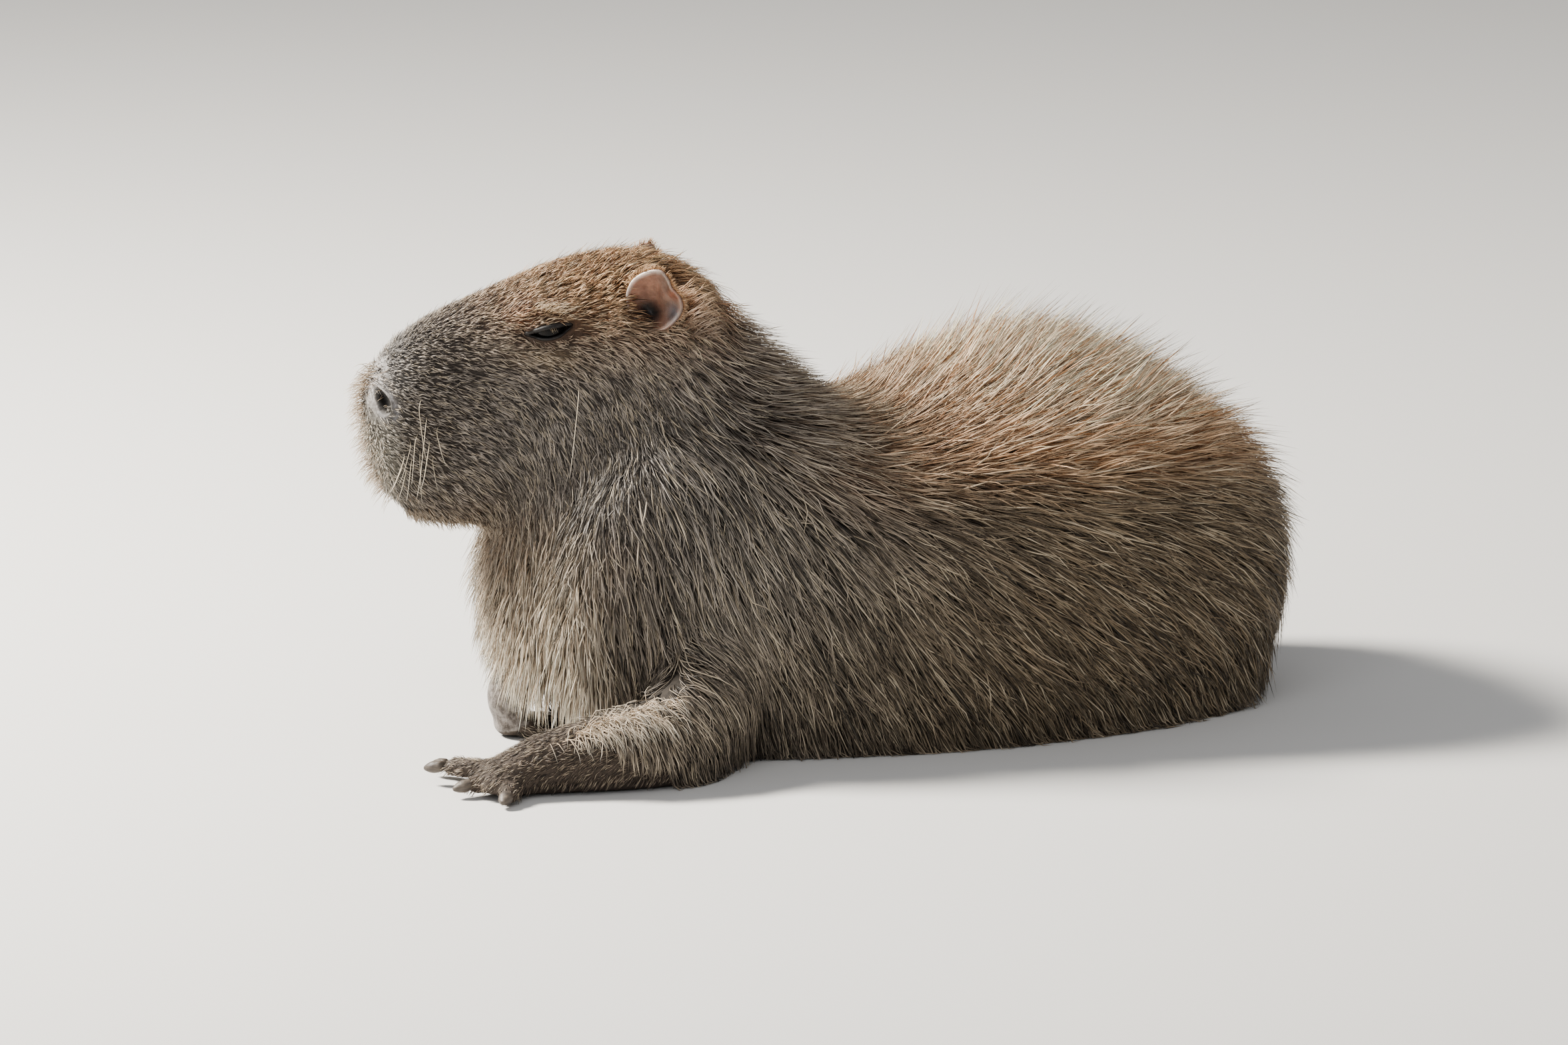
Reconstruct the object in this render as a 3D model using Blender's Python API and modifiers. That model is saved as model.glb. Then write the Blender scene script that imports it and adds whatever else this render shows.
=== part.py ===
"""A capybara lying on its belly with its head raised, life size, in metres and +Z up.

The trunk runs along X with the head at -X, and the animal's left side is at -Y. The body is one
smooth form, lofted from a few stations and parted by thin cuts into head, neck and torso. Flat,
tapered locks of hair overlap on the neck and torso.
"""

import itertools
import math

import bmesh
import bpy
import numpy as np
from mathutils import Matrix, Vector
from mathutils.bvhtree import BVHTree
from mathutils.geometry import intersect_point_line

# Driving dimensions
GAP = 0.0004
HEAD_TURN = math.radians(20)
EAR_LINE = (0.126, -0.010)

# Stations of the head: ahead of the ears, half width, underside, widest height, top, squareness
HEAD_STATIONS = (
    (-0.060, 0.074, 0.215, 0.300, 0.398, 2.2),
    (-0.030, 0.076, 0.200, 0.298, 0.420, 2.2),
    (0.000, 0.076, 0.192, 0.292, 0.4355, 2.3),
    (0.030, 0.074, 0.190, 0.285, 0.4390, 2.3),
    (0.060, 0.070, 0.191, 0.280, 0.4370, 2.3),
    (0.090, 0.064, 0.193, 0.280, 0.4320, 2.4),
    (0.120, 0.058, 0.196, 0.280, 0.4240, 2.5),
    (0.150, 0.0535, 0.203, 0.282, 0.4130, 2.6),
    (0.180, 0.0510, 0.212, 0.287, 0.3985, 2.7),
    (0.205, 0.0500, 0.217, 0.292, 0.3835, 2.8),
    (0.228, 0.0470, 0.221, 0.296, 0.3665, 2.8),
    (0.244, 0.0400, 0.236, 0.300, 0.3510, 2.6),
    (0.2535, 0.0300, 0.252, 0.304, 0.3390, 2.4),
    (0.2600, 0.0150, 0.279, 0.305, 0.3250, 2.2),
)
CHIN_STATIONS = (
    (0.080, 0.050, 0.193, 0.225, 0.270, 2.2),
    (0.140, 0.042, 0.1985, 0.222, 0.250, 2.3),
    (0.190, 0.033, 0.2020, 0.220, 0.240, 2.4),
    (0.215, 0.024, 0.2070, 0.220, 0.233, 2.3),
    (0.228, 0.010, 0.2140, 0.221, 0.228, 2.2),
)
# Stations of the neck: centre x, centre z, lean of its top backwards in degrees, half width, rise, drop
NECK_STATIONS = (
    (0.098, 0.315, 35.0, 0.078, 0.112, 0.140),
    (0.110, 0.252, 51.0, 0.112, 0.150, 0.150),
    (0.150, 0.180, 53.0, 0.140, 0.180, 0.182),
    (0.190, 0.150, 58.0, 0.140, 0.180, 0.170),
)
# Stations of the trunk: x, half width, underside, widest height, top, squareness above and below
TRUNK_STATIONS = (
    (-0.022, 0.030, 0.100, 0.140, 0.190, 2.1, 2.1),
    (0.000, 0.075, 0.055, 0.140, 0.245, 2.1, 2.2),
    (0.030, 0.102, 0.032, 0.135, 0.275, 2.2, 2.3),
    (0.080, 0.131, 0.006, 0.130, 0.305, 2.2, 2.6),
    (0.150, 0.156, -0.020, 0.125, 0.335, 2.2, 3.4),
    (0.220, 0.174, -0.030, 0.115, 0.330, 2.2, 4.2),
    (0.280, 0.188, -0.030, 0.110, 0.300, 2.2, 4.6),
    (0.340, 0.199, -0.030, 0.110, 0.287, 2.3, 4.8),
    (0.420, 0.205, -0.030, 0.115, 0.305, 2.3, 4.8),
    (0.500, 0.203, -0.030, 0.120, 0.313, 2.3, 4.6),
    (0.570, 0.191, -0.030, 0.120, 0.293, 2.2, 4.2),
    (0.640, 0.161, -0.020, 0.115, 0.252, 2.2, 3.6),
    (0.700, 0.112, -0.005, 0.105, 0.203, 2.1, 3.0),
    (0.738, 0.052, 0.030, 0.090, 0.150, 2.0, 2.4),
)
# Muscle masses, each on both sides: centre, radii
SHOULDER = ((0.120, 0.092, 0.140), (0.125, 0.066, 0.150))
HAUNCH = ((0.545, 0.105, 0.118), (0.165, 0.090, 0.160))
CHEEK = ((0.060, 0.050, 0.265), (0.060, 0.028, 0.062))
BROW = ((0.100, 0.040, 0.396), (0.034, 0.018, 0.016))

# Where the body is parted: a point, its lean backwards and its turn to the animal's right
HEAD_CUT = ((0.004, 0.0, 0.192), math.radians(42), math.radians(12))
NECK_CUT = ((-0.030, 0.0, 0.100), math.radians(55), 0.0)

# Face, as distance ahead of the ears, distance to the side, and height
EYE_PLACE = (0.0976, 0.0455, 0.382)
EYE_RADIUS = 0.0135
LID_RADII = (0.0225, 0.0160, 0.0165)
SLIT_SIZE = (0.036, 0.0110)
SLIT_TILT = math.radians(11)
NOSTRIL_PLACE = (0.2440, 0.0300, 0.3170)
NOSTRIL_RADII = (0.0085, 0.0085, 0.0072)
MOUTH_SIDE = ((0.155, 0.050, 0.2280), (0.185, 0.046, 0.2225), (0.212, 0.035, 0.2225), (0.232, 0.018, 0.2245))
MOUTH_FRONT = (0.240, 0.000, 0.2250)
MOUTH_RADIUS = 0.0022
LIP_CLEFT = ((0.262, 0.000, 0.285), (0.252, 0.000, 0.255), (0.241, 0.000, 0.2275))
LIP_CLEFT_RADIUS = 0.0018

# The ear is a dish: rim points as distance ahead and up from its middle, in order round the rim
EAR_PLACE = (0.006, 0.0620, 0.4050)
EAR_YAW = math.radians(28)
EAR_LEAN = math.radians(8)
EAR_RIM = (
    (0.026, -0.001),
    (0.019, 0.015),
    (0.004, 0.0245),
    (-0.009, 0.026),
    (-0.0155, 0.018),
    (-0.0185, 0.0105),
    (-0.0255, 0.003),
    (-0.0270, -0.007),
    (-0.0215, -0.017),
    (-0.008, -0.028),
    (0.008, -0.028),
    (0.022, -0.016),
)
EAR_CANAL = (0.0085, -0.0130)
EAR_DEPTH = 0.017
EAR_THICKNESS = 0.0026
EAR_HOLLOW = (0.0105, 0.0100, 0.0120)

# Legs: x, y, z of the middle, half width, half height
FORELEG_LEFT = (
    (0.150, -0.115, 0.075, 0.034, 0.050),
    (0.100, -0.160, 0.055, 0.036, 0.050),
    (0.060, -0.182, 0.040, 0.035, 0.044),
    (0.015, -0.181, 0.034, 0.031, 0.037),
    (-0.030, -0.173, 0.029, 0.026, 0.031),
    (-0.062, -0.166, 0.024, 0.025, 0.026),
)
FORELEG_RIGHT = (
    (0.130, 0.100, 0.110, 0.030, 0.036),
    (0.080, 0.075, 0.085, 0.027, 0.032),
    (0.040, 0.055, 0.065, 0.024, 0.027),
    (0.014, 0.045, 0.050, 0.022, 0.023),
)
PALM_LEFT = (
    (-0.062, -0.166, 0.024, 0.024, 0.0255),
    (-0.075, -0.162, 0.020, 0.031, 0.0215),
    (-0.090, -0.155, 0.016, 0.037, 0.0165),
    (-0.100, -0.150, 0.012, 0.034, 0.0110),
)
WRIST_RIGHT = ((0.006, 0.0445, 0.036), (0.020, 0.0235, 0.0290))
PALM_RIGHT = (
    (-0.002, 0.044, 0.016, 0.020, 0.0155),
    (0.008, 0.043, 0.014, 0.024, 0.0150),
    (0.020, 0.043, 0.010, 0.022, 0.0115),
)
# Toes: root and tip
TOES_LEFT = (
    ((-0.080, -0.132, 0.016), (-0.112, -0.079, 0.012)),
    ((-0.086, -0.144, 0.018), (-0.127, -0.104, 0.017)),
    ((-0.088, -0.158, 0.015), (-0.122, -0.157, 0.011)),
    ((-0.080, -0.172, 0.013), (-0.104, -0.204, 0.009)),
)
TOES_RIGHT = (
    ((0.012, 0.026, 0.012), (0.028, 0.014, 0.008)),
    ((0.014, 0.037, 0.012), (0.043, 0.030, 0.008)),
    ((0.014, 0.049, 0.012), (0.045, 0.049, 0.008)),
    ((0.012, 0.060, 0.012), (0.034, 0.069, 0.008)),
)
FORE_TOE_RADIUS = 0.0105
# Hind feet, from heel to toes, for the left side
HIND_SOLE = (
    (0.560, -0.108, 0.018, 0.020, 0.020),
    (0.520, -0.114, 0.018, 0.024, 0.021),
    (0.465, -0.120, 0.016, 0.028, 0.019),
    (0.435, -0.122, 0.013, 0.031, 0.0145),
    (0.420, -0.122, 0.011, 0.028, 0.0100),
)
HIND_TOES = (
    ((0.440, -0.102, 0.013), (0.394, -0.088, 0.009)),
    ((0.436, -0.122, 0.014), (0.382, -0.121, 0.009)),
    ((0.440, -0.140, 0.013), (0.394, -0.152, 0.009)),
)
HIND_TOE_RADIUS = 0.0120
# The lower part of each hind leg, from the heel up under the flank
HIND_SHANK = (
    (0.592, -0.106, 0.030, 0.019, 0.0220),
    (0.572, -0.113, 0.051, 0.023, 0.0240),
    (0.540, -0.121, 0.071, 0.028, 0.0280),
    (0.500, -0.128, 0.088, 0.033, 0.0330),
)
# The hollow that each hind foot rests in, under the flank
HIND_POCKET = (
    (0.575, -0.107, 0.010, 0.026, 0.036),
    (0.520, -0.115, 0.010, 0.030, 0.036),
    (0.450, -0.121, 0.008, 0.040, 0.032),
    (0.368, -0.121, 0.006, 0.048, 0.024),
)
POCKET_SQUARENESS = 3.0
RIGHT_FOOT_SHIFT = 0.078
SHANK_SHIFT_SHARE = 0.8
CLAW_LENGTH = 0.013
CLAW_RADIUS = 0.0055

# The coat: how far it stands off the skin, and how far the bristles of the back rise past the rest
COAT_DEPTH = 0.014
BRISTLE_RISE = 0.024
# Locks: length, width, thickness; and the distance from one root to the next along and across the lie
LOCK_SIZES = ((0.165, 0.072, 0.0090), (0.195, 0.080, 0.0100), (0.140, 0.064, 0.0085))
LOCK_SPACING = (0.078, 0.053)
# Rings of a lock from root to tip: share of its length, of its width, and of the coat's depth
LOCK_RINGS = ((0.0, 0.70, -0.75), (0.30, 1.0, 0.45), (0.60, 0.86, 0.85), (0.84, 0.50, 1.00), (1.0, 0.04, 1.10))
LOCK_CURL = 1.3
LOCK_HANGS = 0.45
LOCK_ROOT = 0.012
LOCK_TIP = 0.0004
LOCK_TRIES = 3000
LOCK_SHORTEST = 0.055
LOCK_CLEAR = 0.0006
LOCK_STUB = 0.004
LOCK_STEP = 0.00002
LOCK_SEED = 15
LOCK_FROM_HEAD = 0.006
LOCK_UNDERSIDE = -0.6
LOCK_LOWEST_ROOT = 0.018

VOXEL = 0.0045
BODY_PASSES = 26
HEAD_TRIANGLES = 2100
BODY_TRIANGLES = 1000
LIMB_SIDES = 10
TOE_SIDES = 6
CLAW_SIDES = 6
EYE_SEGMENTS = 16
LID_SEGMENTS = 18
LOCK_SOLVER = "MANIFOLD"
THIN_AREA = 1e-9
SAME_PLACE = 1e-6
NEAR_EDGE = 5e-6
PINCH = 0.0002
EVENED_SHARE = 0.93

HAIR_COLOUR = (0.30, 0.22, 0.15)
EAR_COLOUR = (0.26, 0.17, 0.13)
EYE_COLOUR = (0.02, 0.015, 0.012)
FOOT_COLOUR = (0.14, 0.12, 0.105)
CLAW_COLOUR = (0.09, 0.08, 0.07)


def clear_scene():
    for obj in list(bpy.data.objects):
        bpy.data.objects.remove(obj)


def collection(name):
    made = bpy.data.collections.new(name)
    bpy.context.scene.collection.children.link(made)
    return made


def material(name, colour, roughness):
    made = bpy.data.materials.new(name)
    made.use_nodes = True
    shader = made.node_tree.nodes["Principled BSDF"]
    shader.inputs["Base Color"].default_value = (*colour, 1)
    shader.inputs["Roughness"].default_value = roughness
    shader.inputs["Metallic"].default_value = 0
    return made


def finish(obj, name, finish_material):
    obj.name = name
    obj.data.materials.clear()
    obj.data.materials.append(finish_material)
    off_edges(drawn_apart(parted(triangulated(obj))))
    obj.data.shade_smooth()
    return obj


def parted(obj):
    """Where two sheets of the surface meet in one point, gives each of them a point of its own."""
    work = bmesh.new()
    work.from_mesh(obj.data)
    for vertex in list(work.verts):
        for fan in fans_round(vertex)[1:]:
            twin = work.verts.new(vertex.co)
            corners = [[twin if corner == vertex else corner for corner in face.verts] for face in fan]
            bmesh.ops.delete(work, geom=fan, context="FACES_ONLY")
            for points in corners:
                work.faces.new(points)
    loose = [edge for edge in work.edges if not edge.link_faces]
    bmesh.ops.delete(work, geom=loose, context="EDGES")
    work.to_mesh(obj.data)
    work.free()
    return obj


def fans_round(vertex):
    """The faces at a point, as one list for each sheet of the surface that passes through it."""
    left = set(vertex.link_faces)
    fans = []
    while left:
        front = [left.pop()]
        fan = []
        while front:
            face = front.pop()
            fan.append(face)
            joined = {other for edge in face.edges if vertex in edge.verts for other in edge.link_faces}
            front.extend(joined & left)
            left -= joined
        fans.append(fan)
    return fans


def drawn_apart(obj):
    """Where two points of the surface lie on one another, draws each into its own side."""
    points = points_of(obj.data)
    shared = np.zeros(len(points), bool)
    for offset in (0, 0.5):
        _, index, count = np.unique(
            np.floor(points / SAME_PLACE + offset), axis=0, return_inverse=True, return_counts=True
        )
        shared |= count[index.ravel()] > 1
    points[shared] -= PINCH * normals_of(obj.data)[shared]
    set_points(obj.data, points)
    return obj


def off_edges(obj):
    """Where a point lies on an edge between two of its neighbours, draws it into its own side."""
    work = bmesh.new()
    work.from_mesh(obj.data)
    work.normal_update()
    for vertex in work.verts:
        around = [edge.other_vert(vertex) for edge in vertex.link_edges]
        for a, b in itertools.combinations(around, 2):
            if work.edges.get((a, b)) is None:
                continue
            foot, share = intersect_point_line(vertex.co, a.co, b.co)
            if 0 < share < 1 and (vertex.co - foot).length < NEAR_EDGE:
                vertex.co -= PINCH * vertex.normal
                break
    work.to_mesh(obj.data)
    work.free()
    return obj


def triangulated(obj):
    work = bmesh.new()
    work.from_mesh(obj.data)
    bmesh.ops.triangulate(work, faces=work.faces, ngon_method="EAR_CLIP")
    for edge in [edge for edge in work.edges if len(edge.link_faces) == 4]:
        turn_diagonal(work, edge)
    work.to_mesh(obj.data)
    work.free()
    return obj


def turn_diagonal(work, edge):
    """Where two sheets share one edge, turns it in the sheet that is flat there."""
    a, b = edge.verts
    one_way = [loop for loop in edge.link_loops if loop.vert == a]
    other_way = [loop for loop in edge.link_loops if loop.vert == b]
    choices = []
    for one in one_way:
        for other in other_way:
            c, d = one.link_loop_prev.vert, other.link_loop_prev.vert
            thin = min(one.face.calc_area(), other.face.calc_area()) < THIN_AREA
            flatness = 0.99 if thin else one.face.normal.dot(other.face.normal)
            if c != d and work.edges.get((c, d)) is None:
                choices.append((flatness, len(choices), one.face, other.face, c, d))
    if choices:
        _, _, first, second, c, d = max(choices)
        bmesh.ops.delete(work, geom=[first, second], context="FACES_ONLY")
        work.faces.new((a, d, c))
        work.faces.new((d, b, c))


def mesh_object(name, points, faces, home):
    mesh = bpy.data.meshes.new(name)
    mesh.from_pydata([tuple(p) for p in points], [], [tuple(f) for f in faces])
    mesh.update()
    obj = bpy.data.objects.new(name, mesh)
    home.objects.link(obj)
    return obj


def copied(obj, name, home):
    twin = bpy.data.objects.new(name, obj.data.copy())
    home.objects.link(twin)
    return twin


def smooth_rows(stations, at):
    """The stations' columns between their first values, on a curve that doesn't overshoot."""
    table = np.asarray(stations, float)
    keys, rows = table[:, 0], table[:, 1:]
    step = np.diff(keys)[:, None]
    slope = np.diff(rows, axis=0) / step
    same = slope[:-1] * slope[1:] > 0
    tangent = np.zeros_like(rows)
    tangent[1:-1] = np.where(same, 2 * slope[:-1] * slope[1:] / np.where(same, slope[:-1] + slope[1:], 1), 0)
    tangent[0], tangent[-1] = slope[0], slope[-1]
    index = np.clip(np.searchsorted(keys, at, side="right") - 1, 0, len(keys) - 2)
    width = step[index]
    t = (at - keys[index])[:, None] / width
    first = (1 + 2 * t) * (1 - t) ** 2 * rows[index] + t * (1 - t) ** 2 * width * tangent[index]
    second = t * t * (3 - 2 * t) * rows[index + 1] + t * t * (t - 1) * width * tangent[index + 1]
    return first + second


def ring(centre, side, up, width, rise, drop, squareness, below=None, count=36):
    """A closed superellipse: width to each side, rise above its centre and drop below it."""
    angle = 2 * np.pi * np.arange(count) / count
    c, s = np.cos(angle), np.sin(angle)
    power = 2 / np.where(s > 0, squareness, below or squareness)
    across = np.sign(c) * np.abs(c) ** power * width
    high = np.sign(s) * np.abs(s) ** power * np.where(s > 0, rise, drop)
    return np.asarray(centre) + across[:, None] * np.asarray(side) + high[:, None] * np.asarray(up)


def loft(name, rings, home):
    """A closed skin through rings of equally many points, with flat ends."""
    count = len(rings[0])
    points = np.concatenate(rings)
    faces = [tuple(range(count))[::-1], tuple(range(len(points) - count, len(points)))]
    for r in range(len(rings) - 1):
        for k in range(count):
            a, b = r * count + k, r * count + (k + 1) % count
            faces.append((a, b, b + count, a + count))
    obj = mesh_object(name, points, faces, home)
    outward(obj)
    return obj


def outward(obj):
    work = bmesh.new()
    work.from_mesh(obj.data)
    bmesh.ops.recalc_face_normals(work, faces=work.faces)
    work.to_mesh(obj.data)
    work.free()


def limb(name, stations, home, sides=LIMB_SIDES, grow=0.0, steps=2, blunt=0.35, squareness=2.2):
    """A rounded tube through stations of x, y, z, half width and half height, closed at both ends."""
    table = np.asarray(stations, float)
    numbered = [(i, *row) for i, row in enumerate(table)]
    keys = np.linspace(0, len(table) - 1, (len(table) - 1) * steps + 1)
    rows = smooth_rows(numbered, keys)
    centres = rows[:, :3]
    along = np.gradient(centres, axis=0)
    along /= np.linalg.norm(along, axis=1)[:, None]
    rings = []
    last = len(rows) - 1
    for i, (row, direction) in enumerate(zip(rows, along)):
        side = np.cross(direction, (0, 0, 1))
        side /= np.linalg.norm(side)
        up = np.cross(side, direction)
        width, height = row[3] + grow, row[4] + grow
        if i == 0:
            start = row[:3] - direction * (blunt * height + grow)
            rings.append(ring(start, side, up, width * 0.6, height * 0.6, height * 0.6, squareness, count=sides))
        rings.append(ring(row[:3], side, up, width, height, height, squareness, count=sides))
        if i == last:
            end = row[:3] + direction * (blunt * height + grow)
            rings.append(ring(end, side, up, width * 0.6, height * 0.6, height * 0.6, squareness, count=sides))
    return loft(name, rings, home)


def toe(name, root, tip, radius, home, grow=0.0):
    """A toe with a swollen pad near its end."""
    root, tip = np.asarray(root), np.asarray(tip)
    stations = []
    for share, size in ((0.0, 0.95), (0.35, 0.92), (0.70, 1.0), (0.90, 0.80)):
        stations.append((*(root + share * (tip - root)), radius * size, radius * size * 0.95))
    return limb(name, stations, home, sides=TOE_SIDES, grow=grow, steps=1, blunt=0.6)


def claw(name, root, tip, home):
    """A blunt, hoof-like claw that starts inside its toe and points on from it."""
    root, tip = np.asarray(root), np.asarray(tip)
    ahead = (tip - root) / np.linalg.norm(tip - root)
    start = tip - ahead * 0.006
    stations = []
    for share, size in ((0.0, 0.9), (0.4, 1.0), (0.75, 0.75), (1.0, 0.40)):
        point = start + share * (CLAW_LENGTH + 0.004) * ahead
        point[2] = tip[2] + 0.001 - 0.003 * share
        stations.append((*point, CLAW_RADIUS * size * 1.15, CLAW_RADIUS * size))
    return limb(name, stations, home, sides=CLAW_SIDES, steps=1, blunt=0.35)


def head_axes():
    """Forward, left and up of the head, which is turned to the animal's right."""
    forward = np.array((-math.cos(HEAD_TURN), math.sin(HEAD_TURN), 0.0))
    left = np.array((-math.sin(HEAD_TURN), -math.cos(HEAD_TURN), 0.0))
    return forward, left, np.array((0.0, 0.0, 1.0))


def on_head(ahead, to_left, height):
    forward, left, up = head_axes()
    return np.array((*EAR_LINE, 0.0)) + ahead * forward + to_left * left + height * up


def head_loft(name, stations, home):
    forward, left, up = head_axes()
    keys = np.linspace(stations[0][0], stations[-1][0], 40)
    rings = []
    for key, (width, low, wide, top, square) in zip(keys, smooth_rows(stations, keys)):
        rings.append(ring(on_head(key, 0, wide), left, up, width, top - wide, wide - low, square))
    return loft(name, rings, home)


def trunk_loft(home):
    keys = np.linspace(TRUNK_STATIONS[0][0], TRUNK_STATIONS[-1][0], 48)
    rings = []
    for key, (width, low, wide, top, above, below) in zip(keys, smooth_rows(TRUNK_STATIONS, keys)):
        size = (width, top - wide, wide - low, above, below)
        rings.append(ring((key, 0, wide), (0, 1, 0), (0, 0, 1), *size))
    return loft("trunk_form", rings, home)


def neck_loft(home):
    stations = [(i, *row) for i, row in enumerate(NECK_STATIONS)]
    keys = np.linspace(0, len(stations) - 1, 24)
    rings = []
    for x, z, lean, width, rise, drop in smooth_rows(stations, keys):
        up = (math.sin(math.radians(lean)), 0, math.cos(math.radians(lean)))
        rings.append(ring((x, 0, z), (0, 1, 0), up, width, rise, drop, 2.2))
    return loft("neck_form", rings, home)


def ellipsoid(name, centre, radii, home, axes=None, segments=24):
    work = bmesh.new()
    bmesh.ops.create_uvsphere(work, u_segments=segments, v_segments=segments // 2, radius=1.0)
    mesh = bpy.data.meshes.new(name)
    work.to_mesh(mesh)
    work.free()
    turn = Matrix(np.column_stack(axes)).to_4x4() if axes else Matrix.Identity(4)
    mesh.transform(Matrix.Translation(Vector(centre)) @ turn @ Matrix.Diagonal((*radii, 1)))
    obj = bpy.data.objects.new(name, mesh)
    home.objects.link(obj)
    outward(obj)
    return obj


def evaluated_mesh(obj):
    graph = bpy.context.evaluated_depsgraph_get()
    return bpy.data.meshes.new_from_object(obj.evaluated_get(graph))


def applied(obj):
    """Makes what the modifiers show the object's own mesh."""
    obj.data = evaluated_mesh(obj)
    obj.modifiers.clear()
    return obj


def remeshed(name, parts, voxel, home):
    """The pieces as one surface, by a voxel remesh."""
    work = bmesh.new()
    for part in parts:
        work.from_mesh(part.data)
    mesh = bpy.data.meshes.new(name)
    work.to_mesh(mesh)
    work.free()
    for part in parts:
        bpy.data.objects.remove(part)
    obj = bpy.data.objects.new(name, mesh)
    home.objects.link(obj)
    remesh = obj.modifiers.new("remesh", "REMESH")
    remesh.mode = "VOXEL"
    remesh.voxel_size = voxel
    return applied(obj)


def points_of(mesh):
    points = np.empty(len(mesh.vertices) * 3, np.float32)
    mesh.vertices.foreach_get("co", points)
    return points.reshape(-1, 3).astype(float)


def normals_of(mesh):
    normals = np.empty(len(mesh.vertices) * 3, np.float32)
    mesh.vertices.foreach_get("normal", normals)
    return normals.reshape(-1, 3).astype(float)


def set_points(mesh, points):
    mesh.vertices.foreach_set("co", points.astype(np.float32).ravel())
    mesh.update()


def relaxed(obj, passes, share):
    """Each point moved by its share towards the mean of its neighbours, over and over."""
    points = points_of(obj.data)
    edges = np.empty(len(obj.data.edges) * 2, np.int32)
    obj.data.edges.foreach_get("vertices", edges)
    a, b = edges.reshape(-1, 2).T
    count = np.bincount(a, minlength=len(points)) + np.bincount(b, minlength=len(points))
    for _ in range(passes):
        total = np.stack(
            [
                np.bincount(a, points[b, k], len(points)) + np.bincount(b, points[a, k], len(points))
                for k in range(3)
            ],
            axis=1,
        )
        points += share[:, None] * (total / np.maximum(count, 1)[:, None] - points)
    set_points(obj.data, points)
    return obj


def behind_head(points):
    """0 on the head, 1 on the body, with a short passage behind the cheeks."""
    point, lean, turn = HEAD_CUT
    distance = (points - np.asarray(point)) @ -cut_normal(lean, turn)
    return 1 / (1 + np.exp(-distance / 0.012))


def cut_normal(lean, turn):
    """The side of a cut that faces the head."""
    return np.array((-math.cos(lean) * math.cos(turn), math.cos(lean) * math.sin(turn), math.sin(lean)))


def bristling(points):
    """0 to 1: how much the coat stands on end, most on top of the rump."""
    x, _, z = points.T
    return np.exp(-(((x - 0.53) / 0.19) ** 2)) / (1 + np.exp(-(z - 0.20) / 0.03))


def body_form(home):
    """The whole animal without ears, eyes and limbs, as one smooth closed surface."""
    pieces = [trunk_loft(home), neck_loft(home)]
    pieces.append(head_loft("head_form", HEAD_STATIONS, home))
    pieces.append(head_loft("chin_form", CHIN_STATIONS, home))
    for name, (centre, radii) in (("shoulder", SHOULDER), ("haunch", HAUNCH)):
        for side in (1, -1):
            place = (centre[0], side * centre[1], centre[2])
            pieces.append(ellipsoid(f"{name}_{side}", place, radii, home))
    for name, (centre, radii) in (("cheek", CHEEK), ("brow", BROW)):
        for side in (1, -1):
            place = on_head(centre[0], side * centre[1], centre[2])
            pieces.append(ellipsoid(f"{name}_{side}", place, radii, home, axes=head_axes()))
    whole = remeshed("whole_form", pieces, VOXEL, home)
    share = 0.16 + 0.34 * behind_head(points_of(whole.data))
    return relaxed(whole, BODY_PASSES, share)


def cut_by_plane(obj, point, normal):
    """Keeps what lies behind the plane, and closes the cut."""
    work = bmesh.new()
    work.from_mesh(obj.data)
    geometry = list(work.verts) + list(work.edges) + list(work.faces)
    bmesh.ops.bisect_plane(work, geom=geometry, dist=1e-6, plane_co=point, plane_no=normal, clear_outer=True)
    rim = [edge for edge in work.edges if edge.is_boundary]
    filled = bmesh.ops.holes_fill(work, edges=rim, sides=0)["faces"]
    bmesh.ops.triangulate(work, faces=filled)
    bmesh.ops.recalc_face_normals(work, faces=work.faces)
    work.to_mesh(obj.data)
    work.free()
    return obj


def on_floor(obj):
    return cut_by_plane(obj, (0, 0, 0), (0, 0, -1))


def thinned(obj, triangles):
    """Fewer triangles, spent where the surface bends."""
    triangulated(obj)
    decimate = obj.modifiers.new("decimate", "DECIMATE")
    decimate.ratio = triangles / len(obj.data.polygons)
    return applied(obj)


def evened(obj):
    """Does away with the slivers that a union leaves."""
    triangulated(obj)
    return largest(thinned(obj, EVENED_SHARE * len(obj.data.polygons)))


def boolean(obj, others, operation, solver="EXACT"):
    """Joins, cuts or crosses the object with others, which are used up."""
    group = bpy.data.collections.new("operands")
    for other in others:
        group.objects.link(other)
    modifier = obj.modifiers.new("boolean", "BOOLEAN")
    modifier.operation = operation
    modifier.operand_type = "COLLECTION"
    modifier.collection = group
    modifier.solver = solver
    applied(obj)
    for other in others:
        bpy.data.objects.remove(other)
    bpy.data.collections.remove(group)
    return largest(obj)


def largest(obj):
    """Keeps the closed surface that has the most volume."""
    work = bmesh.new()
    work.from_mesh(obj.data)
    on_an_edge = [vertex for vertex in work.verts if len(vertex.link_edges) == 2]
    bmesh.ops.dissolve_verts(work, verts=on_an_edge)
    work.faces.ensure_lookup_table()
    seen = set()
    shells = []
    for first in work.faces:
        if first in seen:
            continue
        seen.add(first)
        shell, front = [], [first]
        while front:
            face = front.pop()
            shell.append(face)
            for edge in face.edges:
                for other in edge.link_faces:
                    if other not in seen:
                        seen.add(other)
                        front.append(other)
        shells.append(shell)
    shells.sort(key=lambda shell: abs(shell_volume(shell)), reverse=True)
    for shell in shells[1:]:
        bmesh.ops.delete(work, geom=shell, context="FACES")
    loose = [edge for edge in work.edges if not edge.link_faces]
    bmesh.ops.delete(work, geom=loose, context="EDGES")
    work.to_mesh(obj.data)
    work.free()
    return obj


def shell_volume(shell):
    total = 0.0
    for face in shell:
        first, *others = (vertex.co for vertex in face.verts)
        for a, b in zip(others, others[1:]):
            total += first.dot(a.cross(b)) / 6
    return total


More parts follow.
